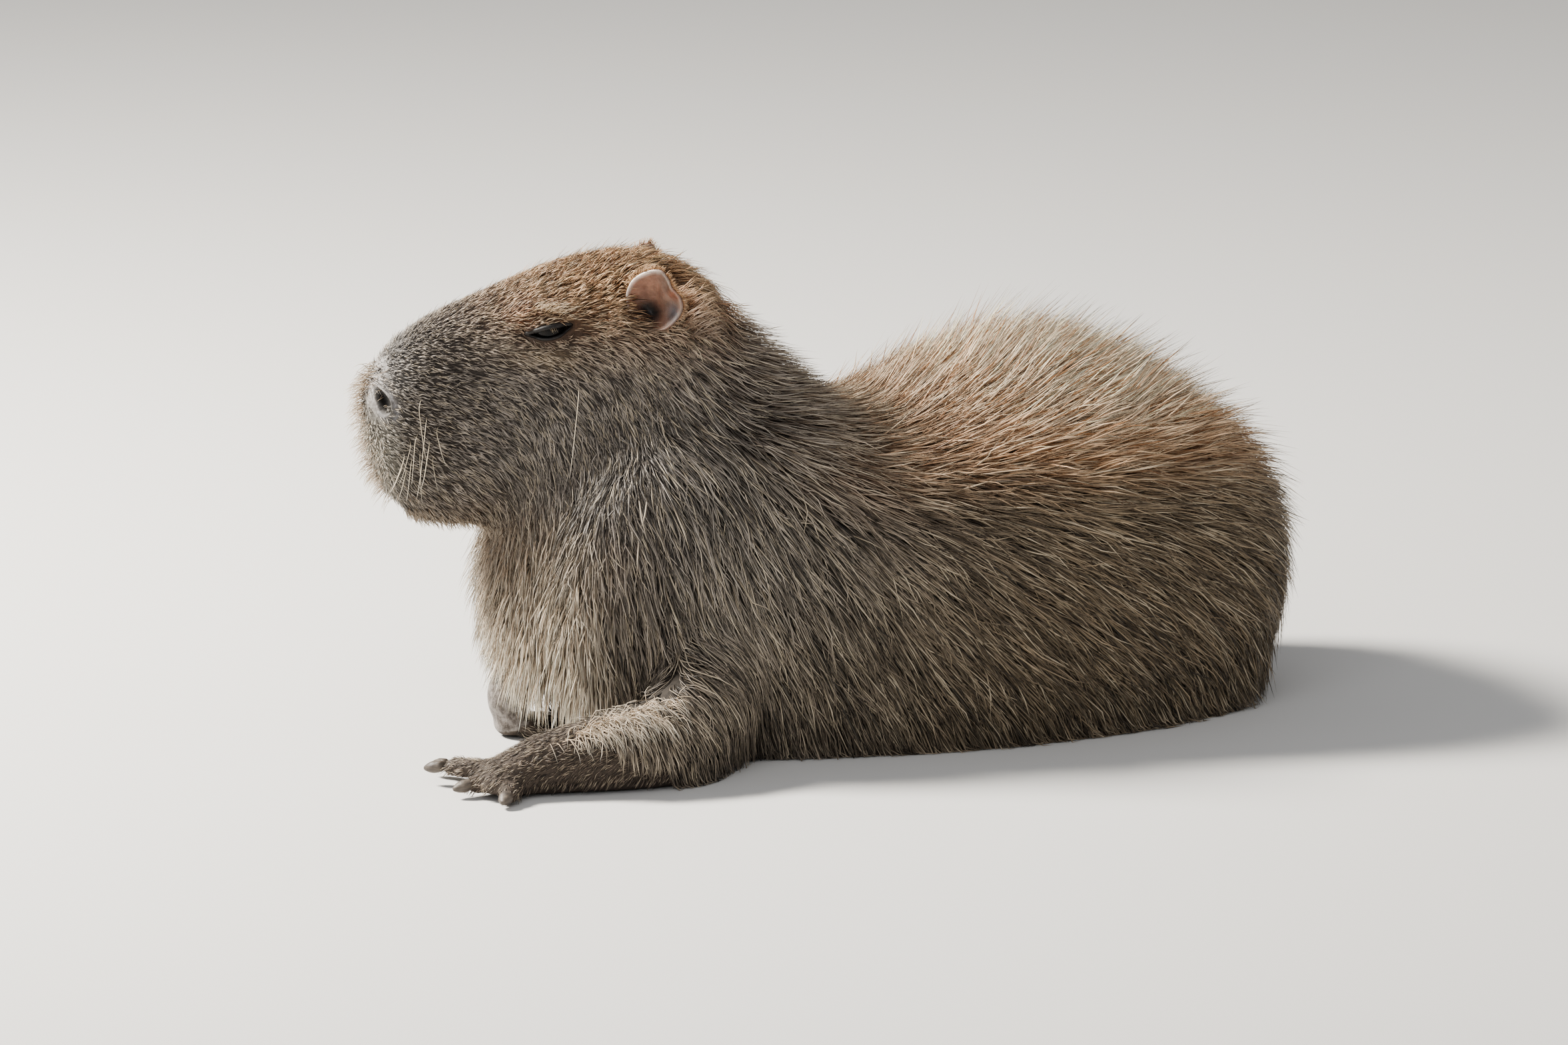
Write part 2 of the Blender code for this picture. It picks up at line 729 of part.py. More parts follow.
def grown(obj, distance, name, home):
    """A copy pushed out along its own normals."""
    twin = copied(obj, name, home)
    set_points(twin.data, points_of(twin.data) + distance * normals_of(twin.data))
    return twin


def skin_tree(obj):
    work = bmesh.new()
    work.from_mesh(obj.data)
    tree = BVHTree.FromBMesh(work)
    work.free()
    return tree


def take_head(whole, home):
    """The whole body cut into the head and the rest."""
    point, lean, turn = HEAD_CUT
    normal = cut_normal(lean, turn)
    spare = 0.002
    head = copied(whole, "head", home)
    rest = whole
    cut_by_plane(head, Vector(point) - Vector(normal) * spare, -normal)
    cut_by_plane(rest, Vector(point) + Vector(normal) * spare, normal)
    thinned(head, HEAD_TRIANGLES)
    thinned(rest, BODY_TRIANGLES)
    cut_by_plane(head, Vector(point) + Vector(normal) * GAP / 2, -normal)
    cut_by_plane(rest, Vector(point) - Vector(normal) * GAP / 2, normal)
    return largest(head), largest(on_floor(rest))


def take_neck(rest, home):
    """The rest of the body cut into neck and torso."""
    point, lean, turn = NECK_CUT
    normal = Vector(cut_normal(lean, turn))
    neck = copied(rest, "neck", home)
    cut_by_plane(neck, Vector(point) + normal * GAP / 2, -normal)
    cut_by_plane(rest, Vector(point) - normal * GAP / 2, normal)
    return largest(neck), largest(rest)


def cut_clear(lock, point, normal, short):
    """Trims a lock short of a plane, and says whether any of it is left."""
    point, normal = np.asarray(point), np.asarray(normal)
    ahead = (points_of(lock.data) - point) @ normal
    if ahead.min() > -LOCK_STUB:
        return False
    if ahead.max() > -short:
        cut_by_plane(lock, point - normal * short, normal)
    return True


def part_locks(locks, home):
    """The locks trimmed at the floor and the head, and shared out to neck and torso."""
    point, lean, turn = HEAD_CUT
    head_side = cut_normal(lean, turn)
    neck_point, lean, turn = NECK_CUT
    neck_side = cut_normal(lean, turn)
    shares = ([], [])
    for index, lock in enumerate(locks):
        short = LOCK_CLEAR + index * LOCK_STEP
        if cut_clear(lock, (0, 0, 0), (0, 0, -1), short) and cut_clear(lock, point, head_side, short):
            twin = copied(lock, "lock", home)
            for share, piece, side in zip(shares, (twin, lock), (-neck_side, neck_side)):
                if cut_clear(piece, neck_point, side, short):
                    share.append(piece)
                else:
                    bpy.data.objects.remove(piece)
        else:
            bpy.data.objects.remove(lock)
    return shares


def lie(place, normal):
    """The way the hair lies: back along the body, down the flank, and straight down the chest."""
    x, _, z = place
    low = 1 / (1 + math.exp((z - 0.17) / 0.04))
    front = 1 / (1 + math.exp((x - 0.03) / 0.02)) / (1 + math.exp((z - 0.21) / 0.02))
    rear = 1 / (1 + math.exp((0.70 - x) / 0.02))
    back = (1 - front) * (1 - 0.7 * rear)
    way = np.array((back + 0.25 * front, 0.0, -(0.28 + 0.55 * low + 0.8 * front + 0.7 * rear)))
    way = way - normal * (way @ normal)
    return way / np.linalg.norm(way)


def core_depth(points):
    """How far the core lies inside the coat's outline: half of the coat, less on the rump, none on the head."""
    return (0.5 * COAT_DEPTH - 0.2 * BRISTLE_RISE * bristling(points)) * behind_head(points)


def lock_roots(core, rng, allowed):
    """Places spread evenly over the core, further apart along the lie than across it."""
    mesh = core.data
    corners = np.array([[mesh.vertices[v].co[:] for v in face.vertices] for face in mesh.polygons])
    areas = np.array([face.area for face in mesh.polygons])
    faces = rng.choice(len(areas), size=LOCK_TRIES, p=areas / areas.sum())
    shares = rng.dirichlet((1, 1, 1), LOCK_TRIES)
    places = np.einsum("ik,ikd->id", shares, corners[faces])
    normals = np.array([mesh.polygons[face].normal[:] for face in faces])
    use = np.array([allowed(place, normal) for place, normal in zip(places, normals)])
    places, normals = places[use], normals[use]
    ways = np.array([lie(place, normal) for place, normal in zip(places, normals)])
    sides = np.cross(normals, ways)
    along, across = LOCK_SPACING
    nearest = np.full(len(places), np.inf)
    kept = []
    while nearest.max() > 1:
        index = int(nearest.argmax())
        kept.append(places[index])
        offsets = places - places[index]
        lengthwise = np.einsum("id,id->i", offsets, ways) / along
        sideways = np.einsum("id,id->i", offsets, sides) / across
        outwards = np.einsum("id,id->i", offsets, normals) / across
        nearest = np.minimum(nearest, np.sqrt(lengthwise**2 + sideways**2 + outwards**2))
    return kept


def lock_rings(place, size, tree, turn):
    """Rings of three points along a lock that follows the core and lifts off it towards its tip."""
    length, width, thick = size
    rings = []
    last_share = 0.0
    point, normal, _, _ = tree.find_nearest(Vector(place))
    for share, wide, lift in LOCK_RINGS:
        way = Vector(lie(np.array(point), np.array(normal)))
        way = (way + turn * share * normal.cross(way)).normalized()
        step = (share - last_share) * length
        ahead = point + way * step
        found, found_normal, _, distance = tree.find_nearest(ahead)
        if distance > LOCK_HANGS * step:
            found, found_normal = ahead, normal
        point, normal = found, found_normal
        side = normal.cross(way).normalized()
        last_share = share
        here = np.array(point)[None]
        rise = BRISTLE_RISE * float(bristling(here)[0]) * share**LOCK_CURL
        height = lift * (float(core_depth(here)[0]) + rise) if lift > 0 else lift * LOCK_ROOT
        centre = point + normal * height
        half = width / 2 * wide
        ridge = thick / 2 * min(1, (1 - share) * 4) + LOCK_TIP
        rings.append([centre + side * half, centre + normal * ridge, centre - side * half])
    return np.array([[tuple(point) for point in points] for points in rings])


def make_lock(place, size, tree, turn, home):
    return loft("lock", list(lock_rings(place, size, tree, turn)), home)


def fitting_lock(place, size, tree, turn, clear, home):
    """A lock shortened until it is clear of the neighbours, or none where it would be a stub."""
    length, width, thick = size
    while length > LOCK_SHORTEST:
        shape = make_lock(place, (length, width, thick), tree, turn, home)
        if clear(shape):
            return shape
        bpy.data.objects.remove(shape)
        length *= 0.86
        width *= 0.95
    return None


def grow_locks(core, seed, allowed, clear, home):
    """Flat tapered locks over the core, each rooted in it."""
    rng = np.random.default_rng(seed)
    triangulated(core)
    tree = skin_tree(core)
    locks = []
    for place in lock_roots(core, rng, allowed):
        size = LOCK_SIZES[rng.integers(len(LOCK_SIZES))]
        size = (size[0] * rng.uniform(0.9, 1.15), size[1] * rng.uniform(0.9, 1.1), size[2])
        made = fitting_lock(place, size, tree, rng.uniform(-0.22, 0.22), clear, home)
        if made is not None:
            locks.append(made)
    return locks


def make_coat(body, neighbours, home):
    """Locks over the neck and trunk, each clear of the legs and feet."""
    trees = [skin_tree(other) for other in neighbours]
    point, lean, turn = HEAD_CUT
    head_side = cut_normal(lean, turn)

    def allowed(place, normal):
        off_head = (place - np.asarray(point)) @ head_side < -LOCK_FROM_HEAD
        return off_head and normal[2] > LOCK_UNDERSIDE and place[2] > LOCK_LOWEST_ROOT

    def clear(shape):
        fat = grown(shape, LOCK_CLEAR, "fat", home)
        own = skin_tree(fat)
        bpy.data.objects.remove(fat)
        return not any(own.overlap(tree) for tree in trees)

    return grow_locks(body, LOCK_SEED, allowed, clear, home)


def eye_axes(side):
    """Forward, outward and up at an eye, tilted so that its front corner is lower."""
    forward, left, up = head_axes()
    tilted = math.cos(SLIT_TILT) * forward - math.sin(SLIT_TILT) * up
    outward_axis = side * left
    raised = math.sin(SLIT_TILT) * forward + math.cos(SLIT_TILT) * up
    return tilted, outward_axis, raised


def slit_cutter(side, home):
    """An almond-shaped bar that opens the lids over the eyeball."""
    forward, outward_axis, up = eye_axes(side)
    centre = on_head(EYE_PLACE[0], side * EYE_PLACE[1], EYE_PLACE[2])
    length, height = SLIT_SIZE
    outline = []
    for angle in np.linspace(0, 2 * np.pi, 16, endpoint=False):
        along = math.cos(angle) * length / 2
        bow = math.sin(angle) * (1 - 0.35 * abs(math.cos(angle))) * height / 2
        outline.append(centre + along * forward + bow * up)
    outline = np.array(outline)
    near = outline + outward_axis * EYE_RADIUS * 0.35
    far = outline + outward_axis * EYE_RADIUS * 3
    return loft("slit", [near, far], home)


def path_cutter(name, path, radius, tree, home):
    """A thin tube along the face, half sunk in it."""
    numbered = [(i, *row) for i, row in enumerate(path)]
    rows = smooth_rows(numbered, np.linspace(0, len(path) - 1, 2 * len(path) - 1))
    stations = []
    for row in rows:
        found = tree.find_nearest(Vector(on_head(*row)))[0]
        stations.append((*found, radius, radius))
    return limb(name, stations, home, sides=6, steps=1, blunt=0.8)


def carve_face(head, home):
    """Lids round the eyes, nostrils, the line of the mouth and the cleft of the upper lip."""
    lids, cutters = [], []
    for side in (1, -1):
        centre = on_head(EYE_PLACE[0], side * EYE_PLACE[1], EYE_PLACE[2])
        lids.append(ellipsoid("lid", centre, LID_RADII, home, axes=eye_axes(side), segments=LID_SEGMENTS))
    boolean(head, lids, "UNION")
    tree = skin_tree(head)
    for side in (1, -1):
        centre = on_head(EYE_PLACE[0], side * EYE_PLACE[1], EYE_PLACE[2])
        socket = (EYE_RADIUS + GAP,) * 3
        cutters.append(ellipsoid("socket", centre, socket, home, axes=eye_axes(side), segments=EYE_SEGMENTS))
        cutters.append(slit_cutter(side, home))
        place = on_head(NOSTRIL_PLACE[0], side * NOSTRIL_PLACE[1], NOSTRIL_PLACE[2])
        found = tree.find_nearest(Vector(place))[0]
        cutters.append(ellipsoid("nostril", found, NOSTRIL_RADII, home, axes=head_axes(), segments=10))
    other_side = [(ahead, -to_side, height) for ahead, to_side, height in reversed(MOUTH_SIDE)]
    mouth = (*MOUTH_SIDE, MOUTH_FRONT, *other_side)
    cutters.append(path_cutter("mouth", mouth, MOUTH_RADIUS, tree, home))
    cutters.append(path_cutter("cleft", LIP_CLEFT, LIP_CLEFT_RADIUS, tree, home))
    return boolean(head, cutters, "DIFFERENCE")


def ear_axes(side):
    """Forward, outward and up of an ear, which opens outwards and a little forwards."""
    forward, left, up = head_axes()
    outward_axis = math.cos(EAR_YAW) * side * left + math.sin(EAR_YAW) * forward
    ahead = math.cos(EAR_YAW) * forward - math.sin(EAR_YAW) * side * left
    raised = math.cos(EAR_LEAN) * up + math.sin(EAR_LEAN) * outward_axis
    outward_axis = math.cos(EAR_LEAN) * outward_axis - math.sin(EAR_LEAN) * up
    return ahead, outward_axis, raised


def rim_point(turn):
    """A point of the ear's rim, from a closed curve through the rim points."""
    count = len(EAR_RIM)
    index = int(math.floor(turn)) % count
    t = turn - math.floor(turn)
    a, b, c, d = (np.asarray(EAR_RIM[(index + k) % count]) for k in (-1, 0, 1, 2))
    return 0.5 * (2 * b + (c - a) * t + (2 * a - 5 * b + 4 * c - d) * t * t + (3 * b - a - 3 * c + d) * t**3)


def ear_shell(side, home):
    """A dish that deepens towards the canal, with a turned rim and a closed back."""
    ahead, outward_axis, up = ear_axes(side)
    centre = on_head(EAR_PLACE[0], side * EAR_PLACE[1], EAR_PLACE[2])
    canal = np.asarray(EAR_CANAL)
    around = len(EAR_RIM) * 2
    shares = (0.22, 0.5, 0.8, 1.0)

    def layer(share, back):
        points = []
        for k in range(around):
            rim = rim_point(k / 2)
            flat = canal + share * (rim - canal)
            if back:
                flat = flat + 0.9 * EAR_THICKNESS * (rim - canal) / np.linalg.norm(rim - canal)
            lift = -EAR_DEPTH * (1 - share**1.6) - (EAR_THICKNESS if back else 0)
            points.append(centre + flat[0] * ahead + flat[1] * up + lift * outward_axis)
        return np.array(points)

    rings = [layer(share, False) for share in shares] + [layer(share, True) for share in reversed(shares)]
    return loft(f"ear_{side}", rings, home)


def make_ears(head, home):
    """The head gets a hollow under each dish, and each dish is cut where it meets the head."""
    hollows = []
    ears = []
    for side in (1, -1):
        ahead, outward_axis, up = ear_axes(side)
        centre = on_head(EAR_PLACE[0], side * EAR_PLACE[1], EAR_PLACE[2])
        place = centre + EAR_CANAL[0] * ahead + EAR_CANAL[1] * up - 0.4 * EAR_DEPTH * outward_axis
        hollows.append(ellipsoid("hollow", place, EAR_HOLLOW, home, axes=(ahead, outward_axis, up), segments=12))
    for side in (1, -1):
        ear = ear_shell(side, home)
        boolean(ear, [grown(head, GAP, "near", home)], "DIFFERENCE")
        ears.append(ear)
    boolean(head, hollows, "DIFFERENCE")
    return ears


def make_eye(side, home):
    centre = on_head(EYE_PLACE[0], side * EYE_PLACE[1], EYE_PLACE[2])
    return ellipsoid(f"eye_{side}", centre, (EYE_RADIUS,) * 3, home, axes=eye_axes(side), segments=EYE_SEGMENTS)


def make_foot(name, palm, toes, radius, leg, home, wrist=None):
    """A foot of one palm and its toes, cut clear of its leg, with a claw for each toe."""
    foot = limb(name, palm, home)
    pieces = [toe("toe", root, tip, radius, home) for root, tip in toes]
    if wrist is not None:
        pieces.append(ellipsoid("wrist", *wrist, home, segments=14))
    boolean(foot, pieces, "UNION")
    on_floor(foot)
    if leg is not None:
        boolean(foot, [grown(leg, GAP, "near", home)], "DIFFERENCE")
    claws = []
    for root, tip in toes:
        nail = claw("claw", root, tip, home)
        boolean(nail, [toe("near", root, tip, radius, home, grow=GAP)], "DIFFERENCE")
        claws.append(on_floor(nail))
    return foot, claws


def make_leg(name, stations, torso_near, home):
    leg = limb(name, stations, home)
    on_floor(leg)
    return boolean(leg, [copied(torso_near, "near", home)], "DIFFERENCE")


def make_hind_limbs(torso, home):
    """Hind feet and lower legs, in hollows of the flank that they fill."""
    feet, legs, hollows = {}, [], []
    for name, side, shift in (("left", -1, 0.0), ("right", 1, RIGHT_FOOT_SHIFT)):
        shank = shifted(HIND_SHANK, side, shift * SHANK_SHIFT_SHARE)
        path = shifted(HIND_POCKET, side, shift)
        hollows.append(limb("hollow", path, home, grow=GAP, steps=1, squareness=POCKET_SQUARENESS))
        hollows.append(limb("hollow", shank, home, grow=GAP))
        toes = [tuple(shifted((root, tip), side, shift)) for root, tip in HIND_TOES]
        sole_path = shifted(HIND_SOLE, side, shift)
        foot = f"hindfoot_{name}"
        feet[foot] = make_foot(foot, sole_path, toes, HIND_TOE_RADIUS, None, home)
        leg = on_floor(limb(f"hindleg_{name}", shank, home))
        legs.append(boolean(leg, [grown(feet[foot][0], GAP, "near", home)], "DIFFERENCE"))
    boolean(torso, hollows, "DIFFERENCE")
    return feet, legs


def shifted(stations, side, shift):
    """Stations of the left side carried to either side, and moved outwards."""
    return [(x, -side * (y - shift), *more) for x, y, *more in stations]


def set_on_origin(home):
    """Moves the whole animal so that the middle of its box is over the origin."""
    everything = np.concatenate([points_of(obj.data) for obj in home.objects])
    middle = (everything.min(axis=0) + everything.max(axis=0)) / 2
    for obj in home.objects:
        obj.location = (-middle[0], -middle[1], 0)


def main():
    clear_scene()
    home = collection("capybara")
    hair = material("hair", HAIR_COLOUR, 0.8)
    bare = material("ear_skin", EAR_COLOUR, 0.6)
    wet = material("eye", EYE_COLOUR, 0.1)
    sole = material("foot_skin", FOOT_COLOUR, 0.7)
    horn = material("claw", CLAW_COLOUR, 0.5)

    whole = body_form(home)
    inset = core_depth(points_of(whole.data))
    set_points(whole.data, points_of(whole.data) - inset[:, None] * normals_of(whole.data))
    head, trunk = take_head(whole, home)
    carve_face(head, home)
    ears = make_ears(head, home)

    feet, hind_legs = make_hind_limbs(trunk, home)
    near = grown(trunk, GAP, "near", home)
    leg_left = make_leg("foreleg_left", FORELEG_LEFT, near, home)
    leg_right = make_leg("foreleg_right", FORELEG_RIGHT, near, home)
    feet["forefoot_left"] = make_foot("forefoot_left", PALM_LEFT, TOES_LEFT, FORE_TOE_RADIUS, leg_left, home)
    feet["forefoot_right"] = make_foot(
        "forefoot_right", PALM_RIGHT, TOES_RIGHT, FORE_TOE_RADIUS, leg_right, home, wrist=WRIST_RIGHT
    )
    boolean(feet["forefoot_right"][0], [near], "DIFFERENCE")

    limbs = [leg_left, leg_right, *hind_legs]
    for foot, claws in feet.values():
        limbs.extend((foot, *claws))
    neck_locks, torso_locks = part_locks(make_coat(trunk, limbs, home), home)
    neck, torso = take_neck(trunk, home)
    evened(boolean(neck, neck_locks, "UNION", LOCK_SOLVER))
    evened(boolean(torso, torso_locks, "UNION", LOCK_SOLVER))

    finish(head, "head", hair)
    finish(neck, "neck", hair)
    finish(torso, "torso", hair)
    for leg, side in zip(hind_legs, ("left", "right")):
        finish(leg, f"hindleg_{side}", hair)
    for ear, side in zip(ears, ("left", "right")):
        finish(ear, f"ear_{side}", bare)
    for side, name in ((1, "left"), (-1, "right")):
        finish(make_eye(side, home), f"eye_{name}", wet)
    finish(leg_left, "foreleg_left", hair)
    finish(leg_right, "foreleg_right", hair)
    for name, (foot, claws) in feet.items():
        finish(foot, name, sole)
        for number, nail in enumerate(claws, 1):
            finish(nail, f"claw_{name}_{number}", horn)
    set_on_origin(home)


main()
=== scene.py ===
"""The looks of a capybara that lies on its belly with its head raised, in metres and +Z up.

Shapes are worked out with the trunk along X, the head at -X and the left side at -Y, and moved at
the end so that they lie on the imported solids. One skin carries the coat, which is solid tufts of
hair that follow the lie of the coat.
"""

import math
from collections import namedtuple

import bmesh
import bpy
import numpy as np
from mathutils import Matrix, Vector
from mathutils.bvhtree import BVHTree
from mathutils.kdtree import KDTree

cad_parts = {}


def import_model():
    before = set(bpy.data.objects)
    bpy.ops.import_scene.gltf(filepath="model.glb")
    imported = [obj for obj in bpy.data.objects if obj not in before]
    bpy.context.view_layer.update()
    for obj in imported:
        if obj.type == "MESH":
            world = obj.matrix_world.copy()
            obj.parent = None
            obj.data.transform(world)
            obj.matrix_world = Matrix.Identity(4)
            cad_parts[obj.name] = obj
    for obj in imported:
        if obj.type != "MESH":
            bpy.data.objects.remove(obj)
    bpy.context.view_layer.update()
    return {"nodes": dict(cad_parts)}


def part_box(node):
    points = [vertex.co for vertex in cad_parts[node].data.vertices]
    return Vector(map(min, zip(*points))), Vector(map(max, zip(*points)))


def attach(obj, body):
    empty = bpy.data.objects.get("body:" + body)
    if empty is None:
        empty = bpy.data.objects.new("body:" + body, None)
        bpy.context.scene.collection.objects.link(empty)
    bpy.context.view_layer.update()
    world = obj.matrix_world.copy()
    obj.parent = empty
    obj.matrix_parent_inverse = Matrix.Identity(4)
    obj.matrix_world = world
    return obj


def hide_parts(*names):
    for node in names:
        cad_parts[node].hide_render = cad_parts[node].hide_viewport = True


# Head: its turn to the animal's right, and the point between the ears that it is measured from
HEAD_TURN = math.radians(20)
EAR_LINE = (0.126, -0.010)

# Stations of the head: ahead of the ears, half width, underside, widest height, top, squareness
HEAD_STATIONS = (
    (-0.060, 0.074, 0.215, 0.300, 0.398, 2.2),
    (-0.030, 0.076, 0.200, 0.298, 0.420, 2.2),
    (0.000, 0.076, 0.192, 0.292, 0.4355, 2.3),
    (0.030, 0.074, 0.190, 0.285, 0.4390, 2.3),
    (0.060, 0.070, 0.191, 0.280, 0.4370, 2.3),
    (0.090, 0.064, 0.193, 0.280, 0.4320, 2.4),
    (0.120, 0.058, 0.196, 0.280, 0.4240, 2.5),
    (0.150, 0.0535, 0.203, 0.282, 0.4130, 2.6),
    (0.180, 0.0510, 0.212, 0.287, 0.3985, 2.7),
    (0.205, 0.0500, 0.217, 0.292, 0.3835, 2.8),
    (0.228, 0.0470, 0.221, 0.296, 0.3665, 2.8),
    (0.244, 0.0400, 0.236, 0.300, 0.3510, 2.6),
    (0.2535, 0.0300, 0.252, 0.304, 0.3390, 2.4),
    (0.2600, 0.0150, 0.279, 0.305, 0.3250, 2.2),
)
CHIN_STATIONS = (
    (0.080, 0.050, 0.193, 0.225, 0.270, 2.2),
    (0.140, 0.042, 0.1985, 0.222, 0.250, 2.3),
    (0.190, 0.033, 0.2020, 0.220, 0.240, 2.4),
    (0.215, 0.024, 0.2070, 0.220, 0.233, 2.3),
    (0.228, 0.010, 0.2140, 0.221, 0.228, 2.2),
)
# Stations of the neck: centre x, centre z, lean of its top backwards in degrees, half width, rise, drop
NECK_STATIONS = (
    (0.098, 0.315, 35.0, 0.078, 0.112, 0.140),
    (0.110, 0.252, 51.0, 0.112, 0.150, 0.150),
    (0.150, 0.180, 53.0, 0.140, 0.180, 0.182),
    (0.190, 0.150, 58.0, 0.140, 0.180, 0.170),
)
# Stations of the trunk: x, half width, underside, widest height, top, squareness above and below
TRUNK_STATIONS = (
    (-0.022, 0.030, 0.100, 0.140, 0.190, 2.1, 2.1),
    (0.000, 0.075, 0.055, 0.140, 0.245, 2.1, 2.2),
    (0.030, 0.102, 0.032, 0.135, 0.275, 2.2, 2.3),
    (0.080, 0.131, 0.006, 0.130, 0.305, 2.2, 2.6),
    (0.150, 0.156, -0.020, 0.125, 0.335, 2.2, 3.4),
    (0.220, 0.174, -0.030, 0.115, 0.330, 2.2, 4.2),
    (0.280, 0.188, -0.030, 0.110, 0.300, 2.2, 4.6),
    (0.340, 0.199, -0.030, 0.110, 0.287, 2.3, 4.8),
    (0.420, 0.205, -0.030, 0.115, 0.305, 2.3, 4.8),
    (0.500, 0.203, -0.030, 0.120, 0.313, 2.3, 4.6),
    (0.570, 0.191, -0.030, 0.120, 0.293, 2.2, 4.2),
    (0.640, 0.161, -0.020, 0.115, 0.252, 2.2, 3.6),
    (0.700, 0.112, -0.005, 0.105, 0.203, 2.1, 3.0),
    (0.738, 0.052, 0.030, 0.090, 0.150, 2.0, 2.4),
)
# Muscle masses, each on both sides: centre, radii
SHOULDER = ((0.120, 0.092, 0.140), (0.125, 0.066, 0.150))
HAUNCH = ((0.545, 0.105, 0.118), (0.165, 0.090, 0.160))
CHEEK = ((0.060, 0.050, 0.265), (0.060, 0.028, 0.062))
BROW = ((0.100, 0.040, 0.396), (0.034, 0.018, 0.016))
# Where the head's short hair gives way to the long coat: a point, its lean backwards and its turn
HEAD_CUT = ((0.004, 0.0, 0.192), math.radians(42), math.radians(12))

# Face, as distance ahead of the ears, distance to the side, and height
EYE_PLACE = (0.0976, 0.0455, 0.382)
EYE_RADIUS = 0.0135
LID_RADII = (0.0225, 0.0160, 0.0165)
SLIT_SIZE = (0.043, 0.0124)
SLIT_TILT = math.radians(11)
NOSTRIL_PLACE = (0.2440, 0.0300, 0.3170)
NOSTRIL_SIZE = (0.0046, 0.0088, 0.0105)
MOUTH_SIDE = (
    (0.155, 0.050, 0.2280),
    (0.185, 0.046, 0.2225),
    (0.212, 0.035, 0.2225),
    (0.232, 0.018, 0.2245),
)
MOUTH_FRONT = (0.240, 0.000, 0.2250)
LIP_CLEFT = ((0.262, 0.000, 0.285), (0.252, 0.000, 0.255), (0.241, 0.000, 0.2275))
# Whiskers, as distance ahead of the ears, height, length and how far the tip swings ahead
WHISKERS = (
    (0.210, 0.322, 0.070, -0.25),
    (0.206, 0.306, 0.086, 0.20),
    (0.214, 0.290, 0.052, 0.10),
    (0.222, 0.284, 0.046, 0.45),
    (0.228, 0.272, 0.040, 0.60),
    (0.220, 0.268, 0.044, 0.15),
    (0.232, 0.262, 0.032, 0.70),
    (0.212, 0.276, 0.056, -0.10),
    (0.204, 0.284, 0.050, 0.30),
    (0.200, 0.270, 0.036, -0.30),
    (0.226, 0.256, 0.030, 0.40),
    (0.196, 0.296, 0.040, -0.45),
    (0.070, 0.331, 0.092, 0.14),
)

# The ear is a dish: rim points as distance ahead and up from its middle, in order round the rim
EAR_PLACE = (0.006, 0.0620, 0.4100)
EAR_YAW = math.radians(28)
EAR_LEAN = math.radians(8)
EAR_RIM = (
    (0.026, -0.001),
    (0.019, 0.015),
    (0.004, 0.0245),
    (-0.009, 0.026),
    (-0.0155, 0.018),
    (-0.0185, 0.0105),
    (-0.0255, 0.003),
    (-0.0270, -0.007),
    (-0.0215, -0.017),
    (-0.008, -0.028),
    (0.008, -0.028),
    (0.022, -0.016),
)
EAR_CANAL = (0.0120, -0.0185)
EAR_DEPTH = 0.019
EAR_THICKNESS = 0.0026
EAR_SIDES = 96
EAR_SHARES = (0.06, 0.2, 0.34, 0.48, 0.6, 0.7, 0.8, 0.88, 0.94, 0.98)

# Legs: x, y, z of the middle, half width, half height
FORELEG_LEFT = (
    (0.150, -0.115, 0.075, 0.034, 0.050),
    (0.100, -0.160, 0.055, 0.036, 0.050),
    (0.060, -0.182, 0.040, 0.035, 0.044),
    (0.015, -0.181, 0.034, 0.031, 0.037),
    (-0.030, -0.173, 0.029, 0.026, 0.031),
    (-0.062, -0.166, 0.024, 0.025, 0.026),
)
FORELEG_RIGHT = (
    (0.130, 0.100, 0.110, 0.030, 0.036),
    (0.080, 0.075, 0.085, 0.027, 0.032),
    (0.040, 0.055, 0.065, 0.024, 0.027),
    (0.014, 0.045, 0.050, 0.022, 0.023),
)
PALM_LEFT = (
    (-0.062, -0.166, 0.024, 0.024, 0.0255),
    (-0.075, -0.162, 0.020, 0.031, 0.0215),
    (-0.090, -0.155, 0.016, 0.037, 0.0165),
    (-0.100, -0.150, 0.012, 0.034, 0.0110),
)
WRIST_RIGHT = ((0.006, 0.0445, 0.036), (0.020, 0.0235, 0.0290))
PALM_RIGHT = (
    (-0.002, 0.044, 0.016, 0.020, 0.0155),
    (0.008, 0.043, 0.014, 0.024, 0.0150),
    (0.020, 0.043, 0.010, 0.022, 0.0115),
)
# Toes: root and tip
TOES_LEFT = (
    ((-0.080, -0.132, 0.016), (-0.112, -0.079, 0.012)),
    ((-0.086, -0.144, 0.018), (-0.127, -0.104, 0.017)),
    ((-0.088, -0.158, 0.015), (-0.122, -0.157, 0.011)),
    ((-0.080, -0.172, 0.013), (-0.104, -0.204, 0.009)),
)
TOES_RIGHT = (
    ((0.012, 0.026, 0.012), (0.028, 0.014, 0.008)),
    ((0.014, 0.037, 0.012), (0.043, 0.030, 0.008)),
    ((0.014, 0.049, 0.012), (0.045, 0.049, 0.008)),
    ((0.012, 0.060, 0.012), (0.034, 0.069, 0.008)),
)
FORE_TOE_RADIUS = 0.0105
